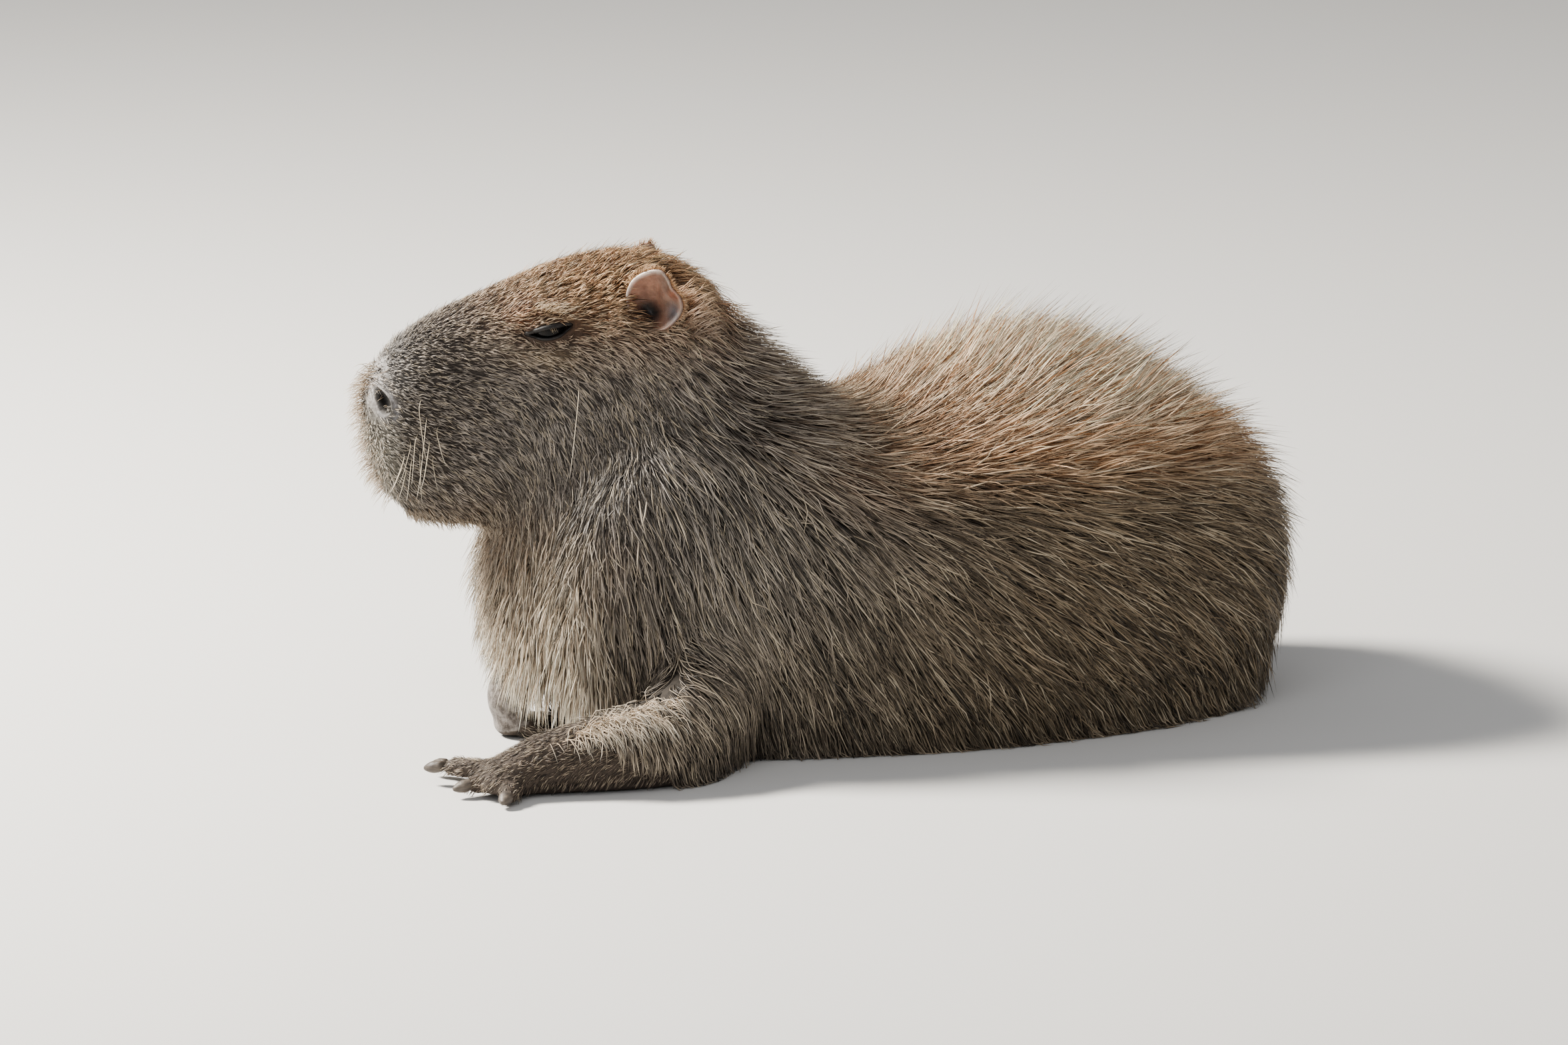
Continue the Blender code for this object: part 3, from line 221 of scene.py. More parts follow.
# Hind feet, from heel to toes, for the left side
HIND_SOLE = (
    (0.560, -0.108, 0.018, 0.020, 0.020),
    (0.520, -0.114, 0.018, 0.024, 0.021),
    (0.465, -0.120, 0.016, 0.028, 0.019),
    (0.435, -0.122, 0.013, 0.031, 0.0145),
    (0.420, -0.122, 0.011, 0.028, 0.0100),
)
HIND_TOES = (
    ((0.440, -0.102, 0.013), (0.394, -0.088, 0.009)),
    ((0.436, -0.122, 0.014), (0.382, -0.121, 0.009)),
    ((0.440, -0.140, 0.013), (0.394, -0.152, 0.009)),
)
HIND_TOE_RADIUS = 0.0120
HIND_POCKET = (
    (0.575, -0.107, 0.010, 0.026, 0.036),
    (0.520, -0.115, 0.010, 0.030, 0.036),
    (0.450, -0.121, 0.008, 0.040, 0.032),
    (0.368, -0.121, 0.006, 0.048, 0.024),
)
RIGHT_FOOT_SHIFT = 0.078
CLAW_LENGTH = 0.013
CLAW_RADIUS = 0.0055

# Hind feet: -1 for the left and 1 for the right, and how far each is moved outwards
HIND_SIDES = ((-1, 0.0), (1, RIGHT_FOOT_SHIFT))
# Parts of the head and trunk: 1 for the left and -1 for the right
SIDES = (1, -1)
LIMB_SQUARENESS = 2.2
# The rounded ends of a limb: how far past it, as a share of its height, and how wide
LIMB_CAPS = ((0.62, 0.6), (0.25, 0.87))

# Skin
COAT_DEPTH = 0.014
BRISTLE_RISE = 0.024
FORM_VOXEL = 0.0045
FORM_PASSES = 26
SKIN_VOXEL = 0.0034
SKIN_PASSES = 5
CREASE_PASSES = 90
BRIDGE_DROP = 0.005
SKIN_INSET = 0.0012
SOLE_INSET = 0.0008
TOE_INSET = 0.0006
FLOOR_CLEAR = 0.0006
FINE_AREA = ((EYE_PLACE, 0.034), (NOSTRIL_PLACE, 0.026))

# Camera, in the view of the photograph
CAMERA_AZIMUTH = math.radians(-25)
CAMERA_ELEVATION = math.radians(12)
CAMERA_DISTANCE = 7.8
CAMERA_TARGET = (0.2341, -0.0496, 0.193)
CAMERA_LENS = 200
CLIP_END = 100

# Coat: numbers of strands, sizes in metres, and shares of the strands
BODY_STRANDS = 63000
HEAD_STRANDS = 35000
LEG_STRANDS = 6000
STRANDS_A_PIECE = 12000
STRAND_THICKNESS = 0.55
HAIR_THICKNESS = 0.8
ROOT_DEPTH = 0.0012
LENGTH_SPREAD = (0.65, 1.2)
WIDTH_SPREAD = (0.65, 1.3)
COAT_SEED = 11
CLUMP_SHARE = 0.18
WILD_SHARE = 0.12
WILD_TURN = 2.6
STRAY_SHARE = 0.07
STRAY_RISE = 0.009
STRAY_LIMIT = 2.2
SWAY = 0.05
TUFT_PATCH = 0.003
BRISTLE_STAND = 0.044
HAIR_FLOOR = FLOOR_CLEAR + 0.0006
# The coat's full length, and how much shorter it is in places
COAT_LENGTH = 0.070
NECK_LENGTH = 0.036
BRISTLE_SHORTER = 0.016
CHEST_SHORTER = 0.038
ELBOW_SHORTER = 0.034
# Leg hair: how far back along X it reaches on each leg, how far out from it, and its sizes
LEG_HAIR_ENDS = (-0.012, 0.050, 1.0, 1.0)
LEG_REACH = 0.0035
LEG_LENGTH = 0.010
LEG_WIDTH = 0.0010
LEG_RISE = 0.002
# No strand has its root beside the eye, nostril, ear or wrist
LID_CLEAR = (0.0030, 0.0022)
WEDGE_CLEAR = 0.0022
NOSTRIL_CLEAR = (0.0120, 0.0100)
EAR_CLEAR = 0.026
WRIST_CLEAR = (0.026, 0.030, 0.030)

# How hairs differ: spread of brightness alone and in tufts, and shares that are dark or pale
OWN_SPREAD = 0.34
TUFT_SPREAD = 0.13
DARK_BELOW = 0.22
DARK_SHADE = 0.45
PALE_ABOVE = 0.84
# Painted shade at each strand's root fades out over this share of its length
ROOT_ENDS = 0.34
TIP_STARTS = 0.30
TIP_FADE = 0.50

# Single hairs: how many in all
BRISTLES = 620
CHIN_HAIRS = 900
ELBOW_HAIRS = 900
# Single hairs: how many on each side
LASHES = 6
BROW_HAIRS = 60
EAR_FRINGE = 420
EAR_TUFT = 160
# Lowest x, y and z of single hairs, where -9 sets no limit, and that of the elbow's hairs along y
LOWEST = (-9, -9, -9)
TUFT_SIDE = -0.232

# The flat map: a margin, the band of the body, and a strip for each leg
UNWRAP_MARGIN = 0.02
BODY_BAND = (0.40, 0.56)
LEG_STRIPS = (0.02, 0.09, 0.07)
SEAM_JUMP = 0.03
SEAM_STEP = 0.0005

# Lights: azimuth and elevation in degrees, distance, size, power and colour
LIGHTS = {
    "key": (-126, 42, 4.0, 0.9, 850, (1.0, 0.95, 0.87)),
    "fill": (-40, 32, 5.0, 3.0, 76, (0.97, 0.98, 1.0)),
    "side": (50, 35, 5.0, 2.5, 38, (1.0, 0.97, 0.93)),
}
LIGHT_TARGET = (0, 0, 0.2)
SKY_COLOUR = (0.86, 0.88, 0.92, 1)
SKY_STRENGTH = 0.42
FLOOR_COLOUR = (0.62, 0.61, 0.59, 1)
FLOOR_REACH = 40

# Colours as seen under even light, except where painted sunlight, sheen or shade is said to be in them
# Painted shade on the lowest coat, by the floor under the body
LOW_SHADE = (66, 55, 46)
FLANK = (98, 84, 66)
FLANK_TIP = (134, 117, 94)
NECK_GREY = (88, 82, 76)
GREY_TIP = (154, 146, 137)
# Painted sunlight: orange and cream on top of the rump and along the edge of its lit part; the tip colour
# also tints the real pale hairs
SUNLIT_RUMP = (222, 160, 102)
SUNLIT_RUMP_AND_PALE_TIP = (255, 236, 204)
SUNLIT_EDGE_ORANGE = (178, 112, 58)
# Chest front: partly cream hair and partly painted sunlight; the tip colour also paints sunlight on the lip
CHEST_CREAM_AND_SUN = (230, 204, 172)
CREAM_AND_SUNLIT_TIP = (255, 248, 228)
CHEEK_BROWN = (88, 80, 74)
# Top of the head: partly orange hair and partly painted sunlight, paler at the tips
FOREHEAD = (166, 110, 62)
FOREHEAD_TIP = (240, 202, 154)
MUZZLE = (86, 75, 66)
# Painted sheen: pale grey on top of the nose
NOSE_SHEEN = (190, 186, 182)
# Painted shade: warm brown under the chin and on the throat
UNDER_CHIN_SHADE = (106, 78, 52)
UNDER_EYE = (196, 168, 130)
FORE_EYE = (168, 100, 52)
LEG_DARK = (84, 72, 62)
MUD = (112, 98, 84)
# Bare right wrist: partly grey wet mud and partly painted sheen
WRIST_MUD_AND_SHEEN = (118, 111, 105)
NOSTRIL_RIM = (132, 132, 138)
EAR_PINK = (150, 108, 88)
EAR_REAR = (120, 96, 82)
EAR_PATCH = (140, 84, 58)
EAR_EDGE = (96, 92, 96)
# Painted shade deep in the ear's canal
EAR_CANAL_SHADE = (24, 17, 14)
# Painted highlight along the ear's rim
EAR_RIM_HIGHLIGHT = (250, 240, 228)
WHISKER = ((196, 180, 152), (238, 226, 204))
BRISTLE = ((120, 98, 76), (232, 216, 192))
LASH = ((150, 124, 92), (228, 208, 176))
# Elbow fringe: partly pale hair and partly painted sunlight
ELBOW_PALE_AND_SUNLIT = ((196, 170, 138), (255, 248, 232))
WHITE = (255, 255, 255)

FLESH = ("head", "neck", "torso", "hindleg", "foreleg", "forefoot", "hindfoot")


def linear(colour):
    """A colour of 0 to 255 on a screen, as the light that it stands for."""
    share = np.asarray(colour, float) / 255
    return np.where(share <= 0.04045, share / 12.92, ((share + 0.055) / 1.055) ** 2.4)


def sigmoid(value):
    return 1 / (1 + np.exp(-np.clip(value, -40, 40)))


def above(value, edge, soft):
    """0 below an edge and 1 above it, with a soft passage."""
    return sigmoid((value - edge) / soft)


def below(value, edge, soft):
    """1 below an edge and 0 above it, with a soft passage."""
    return sigmoid(-(value - edge) / soft)


def about(value, middle, reach):
    """1 at a middle value, falling to 0 beyond the reach on both sides of it."""
    return np.exp(-(((value - middle) / reach) ** 2))


def unit(vectors):
    return vectors / np.maximum(np.linalg.norm(vectors, axis=-1, keepdims=True), 1e-12)


def dot(a, b):
    return np.einsum("...d,...d->...", a, b)


def local(points, centre, axes):
    """Each point's distance from a centre along each axis."""
    offset = points - centre
    return tuple(offset @ axis for axis in axes)


# Making of meshes


def linked(name, data):
    """A new object of the scene."""
    obj = bpy.data.objects.new(name, data)
    bpy.context.scene.collection.objects.link(obj)
    return obj


def mesh_object(name, points, faces):
    mesh = bpy.data.meshes.new(name)
    mesh.from_pydata([tuple(p) for p in points], [], [tuple(f) for f in faces])
    mesh.update()
    return linked(name, mesh)


def mesh_from_arrays(name, points, triangles):
    """A mesh of triangles, from its points and the three points of each."""
    mesh = bpy.data.meshes.new(name)
    mesh.vertices.add(len(points))
    mesh.vertices.foreach_set("co", points.astype(np.float32).ravel())
    mesh.loops.add(3 * len(triangles))
    mesh.loops.foreach_set("vertex_index", triangles.astype(np.int32).ravel())
    mesh.polygons.add(len(triangles))
    mesh.polygons.foreach_set("loop_start", np.arange(0, 3 * len(triangles), 3, dtype=np.int32))
    mesh.update(calc_edges=True)
    return linked(name, mesh)


def vectors_of(mesh, what):
    """A vector of each of the mesh's points, as rows."""
    values = np.empty(len(mesh.vertices) * 3, np.float32)
    mesh.vertices.foreach_get(what, values)
    return values.reshape(-1, 3).astype(float)


def points_of(mesh):
    return vectors_of(mesh, "co")


def normals_of(mesh):
    return vectors_of(mesh, "normal")


def set_points(mesh, points):
    mesh.vertices.foreach_set("co", points.astype(np.float32).ravel())
    mesh.update()


def outward(obj):
    work = bmesh.new()
    work.from_mesh(obj.data)
    bmesh.ops.recalc_face_normals(work, faces=work.faces)
    work.to_mesh(obj.data)
    work.free()
    return obj


def smooth_rows(stations, at):
    """The stations' columns between their first values, on a curve that doesn't overshoot."""
    table = np.asarray(stations, float)
    keys, rows = table[:, 0], table[:, 1:]
    step = np.diff(keys)[:, None]
    slope = np.diff(rows, axis=0) / step
    same = slope[:-1] * slope[1:] > 0
    tangent = np.zeros_like(rows)
    tangent[1:-1] = np.where(same, 2 * slope[:-1] * slope[1:] / np.where(same, slope[:-1] + slope[1:], 1), 0)
    tangent[0], tangent[-1] = slope[0], slope[-1]
    index = np.clip(np.searchsorted(keys, at, side="right") - 1, 0, len(keys) - 2)
    width = step[index]
    t = (at - keys[index])[:, None] / width
    first = (1 + 2 * t) * (1 - t) ** 2 * rows[index] + t * (1 - t) ** 2 * width * tangent[index]
    second = t * t * (3 - 2 * t) * rows[index + 1] + t * t * (t - 1) * width * tangent[index + 1]
    return first + second


def numbered(stations):
    return [(index, *row) for index, row in enumerate(stations)]


def ring(centre, side, up, width, rise, drop, squareness, below=None, count=36):
    """A closed superellipse: width to each side, rise above its centre and drop below it."""
    angle = 2 * np.pi * np.arange(count) / count
    c, s = np.cos(angle), np.sin(angle)
    power = 2 / np.where(s > 0, squareness, below or squareness)
    across = np.sign(c) * np.abs(c) ** power * width
    high = np.sign(s) * np.abs(s) ** power * np.where(s > 0, rise, drop)
    return np.asarray(centre) + across[:, None] * np.asarray(side) + high[:, None] * np.asarray(up)


def loft(name, rings):
    """A closed skin through rings of equally many points, with flat ends."""
    count = len(rings[0])
    points = np.concatenate(rings)
    faces = [tuple(range(count))[::-1], tuple(range(len(points) - count, len(points)))]
    for r in range(len(rings) - 1):
        for k in range(count):
            a, b = r * count + k, r * count + (k + 1) % count
            faces.append((a, b, b + count, a + count))
    return outward(mesh_object(name, points, faces))


def capped(section, reach, size):
    """A smaller section past the end of a limb."""
    place, direction, width, height = section
    return place + direction * (reach * 1.6 * height), direction, width * size, height * size


def limb(name, stations, sides=20, grow=0.0, steps=4, blunt=0.35):
    """A rounded tube through stations of x, y, z, half width and half height, closed at both ends."""
    keys = np.linspace(0, len(stations) - 1, (len(stations) - 1) * steps + 1)
    rows = smooth_rows(numbered(stations), keys)
    along = unit(np.gradient(rows[:, :3], axis=0))
    tube = [(row[:3], direction, row[3] + grow, row[4] + grow) for row, direction in zip(rows, along)]
    start = [capped(tube[0], -reach * blunt, size) for reach, size in LIMB_CAPS]
    end = [capped(tube[-1], reach * blunt, size) for reach, size in reversed(LIMB_CAPS)]
    rings = []
    for place, direction, width, height in start + tube + end:
        side = unit(np.cross(direction, (0, 0, 1)))
        up = np.cross(side, direction)
        rings.append(ring(place, side, up, width, height, height, LIMB_SQUARENESS, count=sides))
    return loft(name, rings)


def toe(root, tip, radius):
    """A toe with a swollen pad near its end."""
    root, tip = np.asarray(root), np.asarray(tip)
    stations = []
    for share, size in ((0.0, 0.95), (0.35, 0.90), (0.70, 1.02), (0.90, 0.82)):
        stations.append((*(root + share * (tip - root)), radius * size, radius * size * 0.95))
    return limb("toe", stations, sides=14, grow=-TOE_INSET, steps=2, blunt=0.6)


def shifted(stations, side, shift):
    """Stations of the left side carried to either side, and moved outwards."""
    return [(x, -side * (y - shift), *more) for x, y, *more in stations]


def head_axes():
    """Forward, left and up of the head, which is turned to the animal's right."""
    forward = np.array((-math.cos(HEAD_TURN), math.sin(HEAD_TURN), 0.0))
    left = np.array((-math.sin(HEAD_TURN), -math.cos(HEAD_TURN), 0.0))
    return forward, left, np.array((0.0, 0.0, 1.0))


def on_head(ahead, to_left, height):
    forward, left, up = head_axes()
    return np.array((*EAR_LINE, 0.0)) + ahead * forward + to_left * left + height * up


def on_side(place, side):
    """A place of the face, on the left for 1 and on the right for -1."""
    ahead, aside, height = place
    return on_head(ahead, side * aside, height)


def head_places(points):
    """Distance ahead of the ears, distance to the left, and height, of each point."""
    return local(points, np.array((*EAR_LINE, 0.0)), head_axes())


def head_loft(name, stations):
    _, left, up = head_axes()
    keys = np.linspace(stations[0][0], stations[-1][0], 40)
    rings = []
    for key, (width, low, wide, top, square) in zip(keys, smooth_rows(stations, keys)):
        rings.append(ring(on_head(key, 0, wide), left, up, width, top - wide, wide - low, square))
    return loft(name, rings)


def trunk_loft():
    keys = np.linspace(TRUNK_STATIONS[0][0], TRUNK_STATIONS[-1][0], 48)
    rings = []
    for key, (width, low, wide, top, above, below) in zip(keys, smooth_rows(TRUNK_STATIONS, keys)):
        size = (width, top - wide, wide - low, above, below)
        rings.append(ring((key, 0, wide), (0, 1, 0), (0, 0, 1), *size))
    return loft("trunk_form", rings)


def neck_loft():
    keys = np.linspace(0, len(NECK_STATIONS) - 1, 24)
    rings = []
    for x, z, lean, width, rise, drop in smooth_rows(numbered(NECK_STATIONS), keys):
        up = (math.sin(math.radians(lean)), 0, math.cos(math.radians(lean)))
        rings.append(ring((x, 0, z), (0, 1, 0), up, width, rise, drop, 2.2))
    return loft("neck_form", rings)


def ellipsoid(name, centre, radii, axes=None, segments=24):
    work = bmesh.new()
    bmesh.ops.create_uvsphere(work, u_segments=segments, v_segments=segments // 2, radius=1.0)
    mesh = bpy.data.meshes.new(name)
    work.to_mesh(mesh)
    work.free()
    turn = Matrix(np.column_stack(axes)).to_4x4() if axes else Matrix.Identity(4)
    mesh.transform(Matrix.Translation(Vector(centre)) @ turn @ Matrix.Diagonal((*radii, 1)))
    return outward(linked(name, mesh))


def joined(name, parts):
    work = bmesh.new()
    for part in parts:
        work.from_mesh(part.data)
    mesh = bpy.data.meshes.new(name)
    work.to_mesh(mesh)
    work.free()
    for part in parts:
        bpy.data.objects.remove(part)
    return linked(name, mesh)


def applied(obj):
    """Makes what the modifiers show the object's own mesh."""
    graph = bpy.context.evaluated_depsgraph_get()
    obj.data = bpy.data.meshes.new_from_object(obj.evaluated_get(graph))
    obj.modifiers.clear()
    return obj


def remeshed(name, parts, voxel):
    """The pieces as one surface, by a voxel remesh."""
    obj = joined(name, parts)
    remesh = obj.modifiers.new("remesh", "REMESH")
    remesh.mode = "VOXEL"
    remesh.voxel_size = voxel
    return applied(obj)


def relaxed(obj, passes, share):
    """Each point moved by its share towards the mean of its neighbours, over and over."""
    points = points_of(obj.data)
    edges = np.empty(len(obj.data.edges) * 2, np.int32)
    obj.data.edges.foreach_get("vertices", edges)
    a, b = edges.reshape(-1, 2).T
    count = np.bincount(a, minlength=len(points)) + np.bincount(b, minlength=len(points))
    for _ in range(passes):
        sums = [
            np.bincount(a, points[b, k], len(points)) + np.bincount(b, points[a, k], len(points))
            for k in range(3)
        ]
        total = np.stack(sums, axis=1)
        points += share[:, None] * (total / np.maximum(count, 1)[:, None] - points)
    set_points(obj.data, points)
    return obj


def skin_tree(obj):
    work = bmesh.new()
    work.from_mesh(obj.data)
    tree = BVHTree.FromBMesh(work)
    work.free()
    return tree


# Fields over the body


def past_cheeks(points):
    """How far each point is behind the cut where the long coat begins."""
    point, lean, turn = HEAD_CUT
    normal = np.array((-math.cos(lean) * math.cos(turn), math.cos(lean) * math.sin(turn), math.sin(lean)))
    return (points - np.asarray(point)) @ -normal


def behind_head(points, soft=0.012):
    """0 on the head, 1 on the body, with a passage behind the cheeks."""
    return sigmoid(past_cheeks(points) / soft)


def bristling(points):
    """0 to 1: how much the coat stands on end, most on top of the rump."""
    x, _, z = points.T
    return about(x, 0.53, 0.19) * above(z, 0.20, 0.03)


def core_depth(points):
    """How far the core of the coat lies inside its outline."""
    return (0.5 * COAT_DEPTH - 0.2 * BRISTLE_RISE * bristling(points)) * behind_head(points, 0.024)


def limb_paths():
    """The middle line of each leg, foot and toe with its half width and height, and the leg's number."""
    paths = [
        (0, [*FORELEG_LEFT, *PALM_LEFT[1:]]),
        (1, [*FORELEG_RIGHT, (*WRIST_RIGHT[0], 0.024, 0.029), *PALM_RIGHT[1:]]),
    ]
    toes = [(0, *pair) for pair in TOES_LEFT] + [(1, *pair) for pair in TOES_RIGHT]
    for number, (side, shift) in enumerate(HIND_SIDES, 2):
        paths.append((number, shifted(HIND_SOLE, side, shift)))
        toes += [(number, *shifted(pair, side, shift)) for pair in HIND_TOES]
    size = (FORE_TOE_RADIUS, FORE_TOE_RADIUS)
    return paths + [(number, [(*root, *size), (*tip, *size)]) for number, root, tip in toes]


def limb_distance(points):
    """How far each point is outside the nearest leg or foot, that leg's number, and the way along it."""
    best = np.full(len(points), np.inf)
    number = np.zeros(len(points), int)
    along = np.zeros((len(points), 3))
    for owner, path in limb_paths():
        for a, b in zip(path, path[1:]):
            a, b = np.array(a), np.array(b)
            step = b[:3] - a[:3]
            share = np.clip((points - a[:3]) @ step / (step @ step), 0, 1)[:, None]
            offset = points - (a[:3] + share * step)
            width = a[3:] + share * (b[3:] - a[3:])
            flat = np.hypot(offset[:, 0], offset[:, 1]) / width[:, 0]
            high = offset[:, 2] / width[:, 1]
            outside = (np.hypot(flat, high) - 1) * width.min(axis=1)
            closer = outside < best
            best[closer] = outside[closer]
            number[closer] = owner
            along[closer] = unit(step)
    return best, number, along


def head_fall(ahead, height):
    """How steeply the hair of the head falls away from straight back: most on the lower cheek."""
    cheek = 3.0 * below(height, 0.312, 0.020) * below(ahead, 0.105, 0.018)
    behind_eye = 0.9 * below(ahead, 0.030, 0.02) * below(height, 0.385, 0.015)
    brow = 0.55 * above(height, 0.392, 0.010)
    return 0.10 + cheek + behind_eye + 0.3 * below(height, 0.34, 0.02) - brow


def body_fall(points):
    """How steeply the hair of the neck and trunk falls: hardly on the rump, most low on the shoulder."""
    x, y, z = points.T
    low = below(z, 0.16, 0.045)
    neck = below(x, 0.27, 0.05)
    fore = below(x, 0.16, 0.05)
    jowl = 2.6 * below(x, 0.15, 0.02) * below(z, 0.29, 0.02) * above(z, 0.15, 0.03)
    steep = 0.30 + 0.75 * low + neck * (0.35 + 0.9 * below(z, 0.27, 0.05)) + 1.1 * fore * low + jowl
    elbow = below(x, 0.16, 0.02) * below(y, -0.11, 0.01) * below(z, 0.12, 0.015)
    return steep * (1 - 0.5 * bristling(points)) * (1 - 0.5 * elbow)


def lie(points, normals, leg, along):
    """The way the hair lies: back over the head and body, down the flank, and down each leg."""
    x, y, z = points.T
    front = below(x, 0.03, 0.02) * below(z, 0.21, 0.02)
    rear = above(x, 0.70, 0.02)
    back = (1 - front) * (1 - 0.7 * rear)
    fall = body_fall(points) + 0.9 * front + 0.9 * rear
    body = np.stack((back + 0.12 * front, 0.25 * front * np.sign(y), -fall), axis=1)
    forward, left, up = head_axes()
    ahead, aside, height = head_places(points)
    spread = 0.25 * np.sign(aside) * above(ahead, 0.20, 0.02)
    head = -forward + spread[:, None] * left - head_fall(ahead, height)[:, None] * up
    share = behind_head(points, 0.03)[:, None]
    way = share * unit(body) + (1 - share) * unit(head)
    down_leg = along + np.array((0.0, 0.0, -0.35))
    way = np.where(leg[:, None], unit(down_leg), unit(way))
    way = way - normals * dot(way, normals)[:, None]
    return unit(way)


def tint(colour, wanted, share):
    """The colour moved towards another by a share for each point."""
    return colour + share[:, None] * (linear(wanted) - colour)


def chest_share(points):
    """0 to 1: the shaggy front of the chest, pale partly in its own colour and partly as painted sunlight,
    which reaches further back low down and on the right.
    """
    x, y, z = points.T
    edge = 0.022 + 0.12 * np.clip(0.18 - z, 0, 0.1) + 0.25 * np.clip(y, 0, 0.1)
    return below(x, edge, 0.012) * below(z, 0.22, 0.02) * above(y, -0.115, 0.008)


def painted(ground, *layers):
    """A ground colour for each point, with layers of another colour and its share over it."""
    colour = np.tile(linear(ground), (len(layers[0][1]), 1))
    for wanted, share in layers:
        colour = tint(colour, wanted, share)
    return colour


def body_markings(points):
    """Colours of the long coat's middle and tips: grey ahead, and painted sunlight in orange and cream on
    the rump.
    """
    x, _, z = points.T
    grey = below(x, 0.25, 0.05) * (0.45 + 0.55 * above(z, 0.15, 0.03))
    # Painted sunlight on top of the rump
    rump = np.clip(bristling(points) * 1.8, 0, 1) * above(z, 0.262, 0.012)
    # Chest front paler: partly its own cream and partly painted sunlight
    chest = chest_share(points)
    # Painted sunlight: an orange band along the edge between the rump's lit top and the flank below
    band = about(z, 0.258, 0.024) * above(x, 0.29, 0.03) * below(x, 0.66, 0.03)
    # Painted shade on the coat low down by the floor, except on the chest
    low_shade = 0.5 * below(z, 0.03, 0.02) * (1 - chest)
    middle = painted(
        FLANK, (NECK_GREY, grey), (SUNLIT_EDGE_ORANGE, 0.6 * band), (SUNLIT_RUMP, rump), (CHEST_CREAM_AND_SUN, 0.85 * chest), (LOW_SHADE, low_shade)
    )
    tips = painted(FLANK_TIP, (GREY_TIP, grey), (SUNLIT_RUMP, 0.5 * band), (SUNLIT_RUMP_AND_PALE_TIP, rump), (CREAM_AND_SUNLIT_TIP, chest))
    return middle, tips


def face_markings(points):
    """Colours of the head's hair: orange forehead, partly painted sunlight on top, painted sheen on the
    nose, painted sunlight on the lip, brown round the eyes, and brown painted shade under the chin and
    throat.
    """
    ahead, _, height = head_places(points)
    top = above(height, 0.385, 0.014) * below(ahead, 0.17, 0.03)
    # Painted shade under the chin
    under_chin = below(height, 0.222, 0.012) * below(ahead, 0.20, 0.02)
    eye_ahead, _, eye_height = EYE_PLACE
    under_eye = np.hypot((ahead - eye_ahead - 0.004) / 0.030, (height - eye_height + 0.025) / 0.008)
    fore_eye = np.hypot((ahead - eye_ahead - 0.026) / 0.014, (height - eye_height - 0.010) / 0.010)
    middle = painted(
        CHEEK_BROWN,
        # Top of the head: partly its own orange and partly painted sunlight
        (FOREHEAD, top),
        (MUZZLE, above(ahead, 0.17, 0.03)),
        (UNDER_CHIN_SHADE, under_chin),
        (UNDER_EYE, 0.6 * np.exp(-(under_eye**2))),
        (FORE_EYE, 0.6 * np.exp(-(fore_eye**2))),
        # Painted sheen on top of the nose
        (NOSE_SHEEN, 0.8 * (above(ahead, 0.228, 0.006) * above(height, 0.322, 0.008))),
        # Painted sunlight on the front of the lip
        (CREAM_AND_SUNLIT_TIP, 0.75 * (above(ahead, 0.236, 0.006) * below(height, 0.30, 0.01))),
    )
    return middle, painted(GREY_TIP, (FOREHEAD_TIP, top), (UNDER_CHIN_SHADE, 0.7 * under_chin))


def markings(points, leg):
    """Colours of the coat's middle and of its tips, for each point of the animal."""
    body = behind_head(points, 0.03)[:, None]
    parts = zip(face_markings(points), body_markings(points))
    middle, tips = (face + body * (rest - face) for face, rest in parts)
    # Painted shade: the tips darkened in the fold behind the cheeks, low on the head
    fold = behind_head(points, 0.022)
    fold = 4 * fold * (1 - fold) * below(points[:, 2], 0.30, 0.02)
    tips = tips * (1 - 0.55 * fold)[:, None]
    on_leg = np.where(leg, 1.0, 0.0)
    return tint(middle, LEG_DARK, on_leg), tint(tips, MUD, 0.8 * on_leg)


def unwrapped(points, number=0, leg=False):
    """Places of the body's surface on one flat sheet: the body above and a strip for each leg below."""
    x, y, z = points.T
    ahead, aside, height = head_places(points)
    body = behind_head(points, 0.03)
    along = body * (x + 0.15) + (1 - body) * (0.276 - ahead)
    angle = body * np.arctan2(y, z - 0.13) + (1 - body) * np.arctan2(-aside, height - 0.30)
    reach = 1 - 2 * UNWRAP_MARGIN
    u = UNWRAP_MARGIN + reach * np.clip(along / 0.92, 0, 1)
    v = BODY_BAND[0] + BODY_BAND[1] * (angle / (2 * np.pi) + 0.5)
    turned = np.mod(np.arctan2(y - np.where(y < 0, -0.15, 0.08), z - 0.03) / (2 * np.pi), 1.0)
    strip = LEG_STRIPS[0] + LEG_STRIPS[1] * number + LEG_STRIPS[2] * turned
    leg_u = UNWRAP_MARGIN + reach * np.clip((x + 0.15) / 0.80, 0, 1)
    return np.stack((np.where(leg, leg_u, u), np.where(leg, strip, v)), axis=1)


# Skin


def body_form():
    """The whole animal without ears, eyes and limbs, as one smooth closed surface."""
    pieces = [trunk_loft(), neck_loft(), head_loft("head_form", HEAD_STATIONS)]
    pieces.append(head_loft("chin_form", CHIN_STATIONS))
    for (x, y, z), radii in (SHOULDER, HAUNCH):
        pieces += [ellipsoid("mass", (x, side * y, z), radii) for side in SIDES]
    for centre, radii in (CHEEK, BROW):
        pieces += [ellipsoid("mass", on_side(centre, side), radii, axes=head_axes()) for side in SIDES]
    whole = remeshed("whole_form", pieces, FORM_VOXEL)
    share = 0.16 + 0.34 * behind_head(points_of(whole.data))
    relaxed(whole, FORM_PASSES, share)
    points = points_of(whole.data)
    depth = core_depth(points) + SKIN_INSET * behind_head(points)
    set_points(whole.data, points - depth[:, None] * normals_of(whole.data))
    return whole


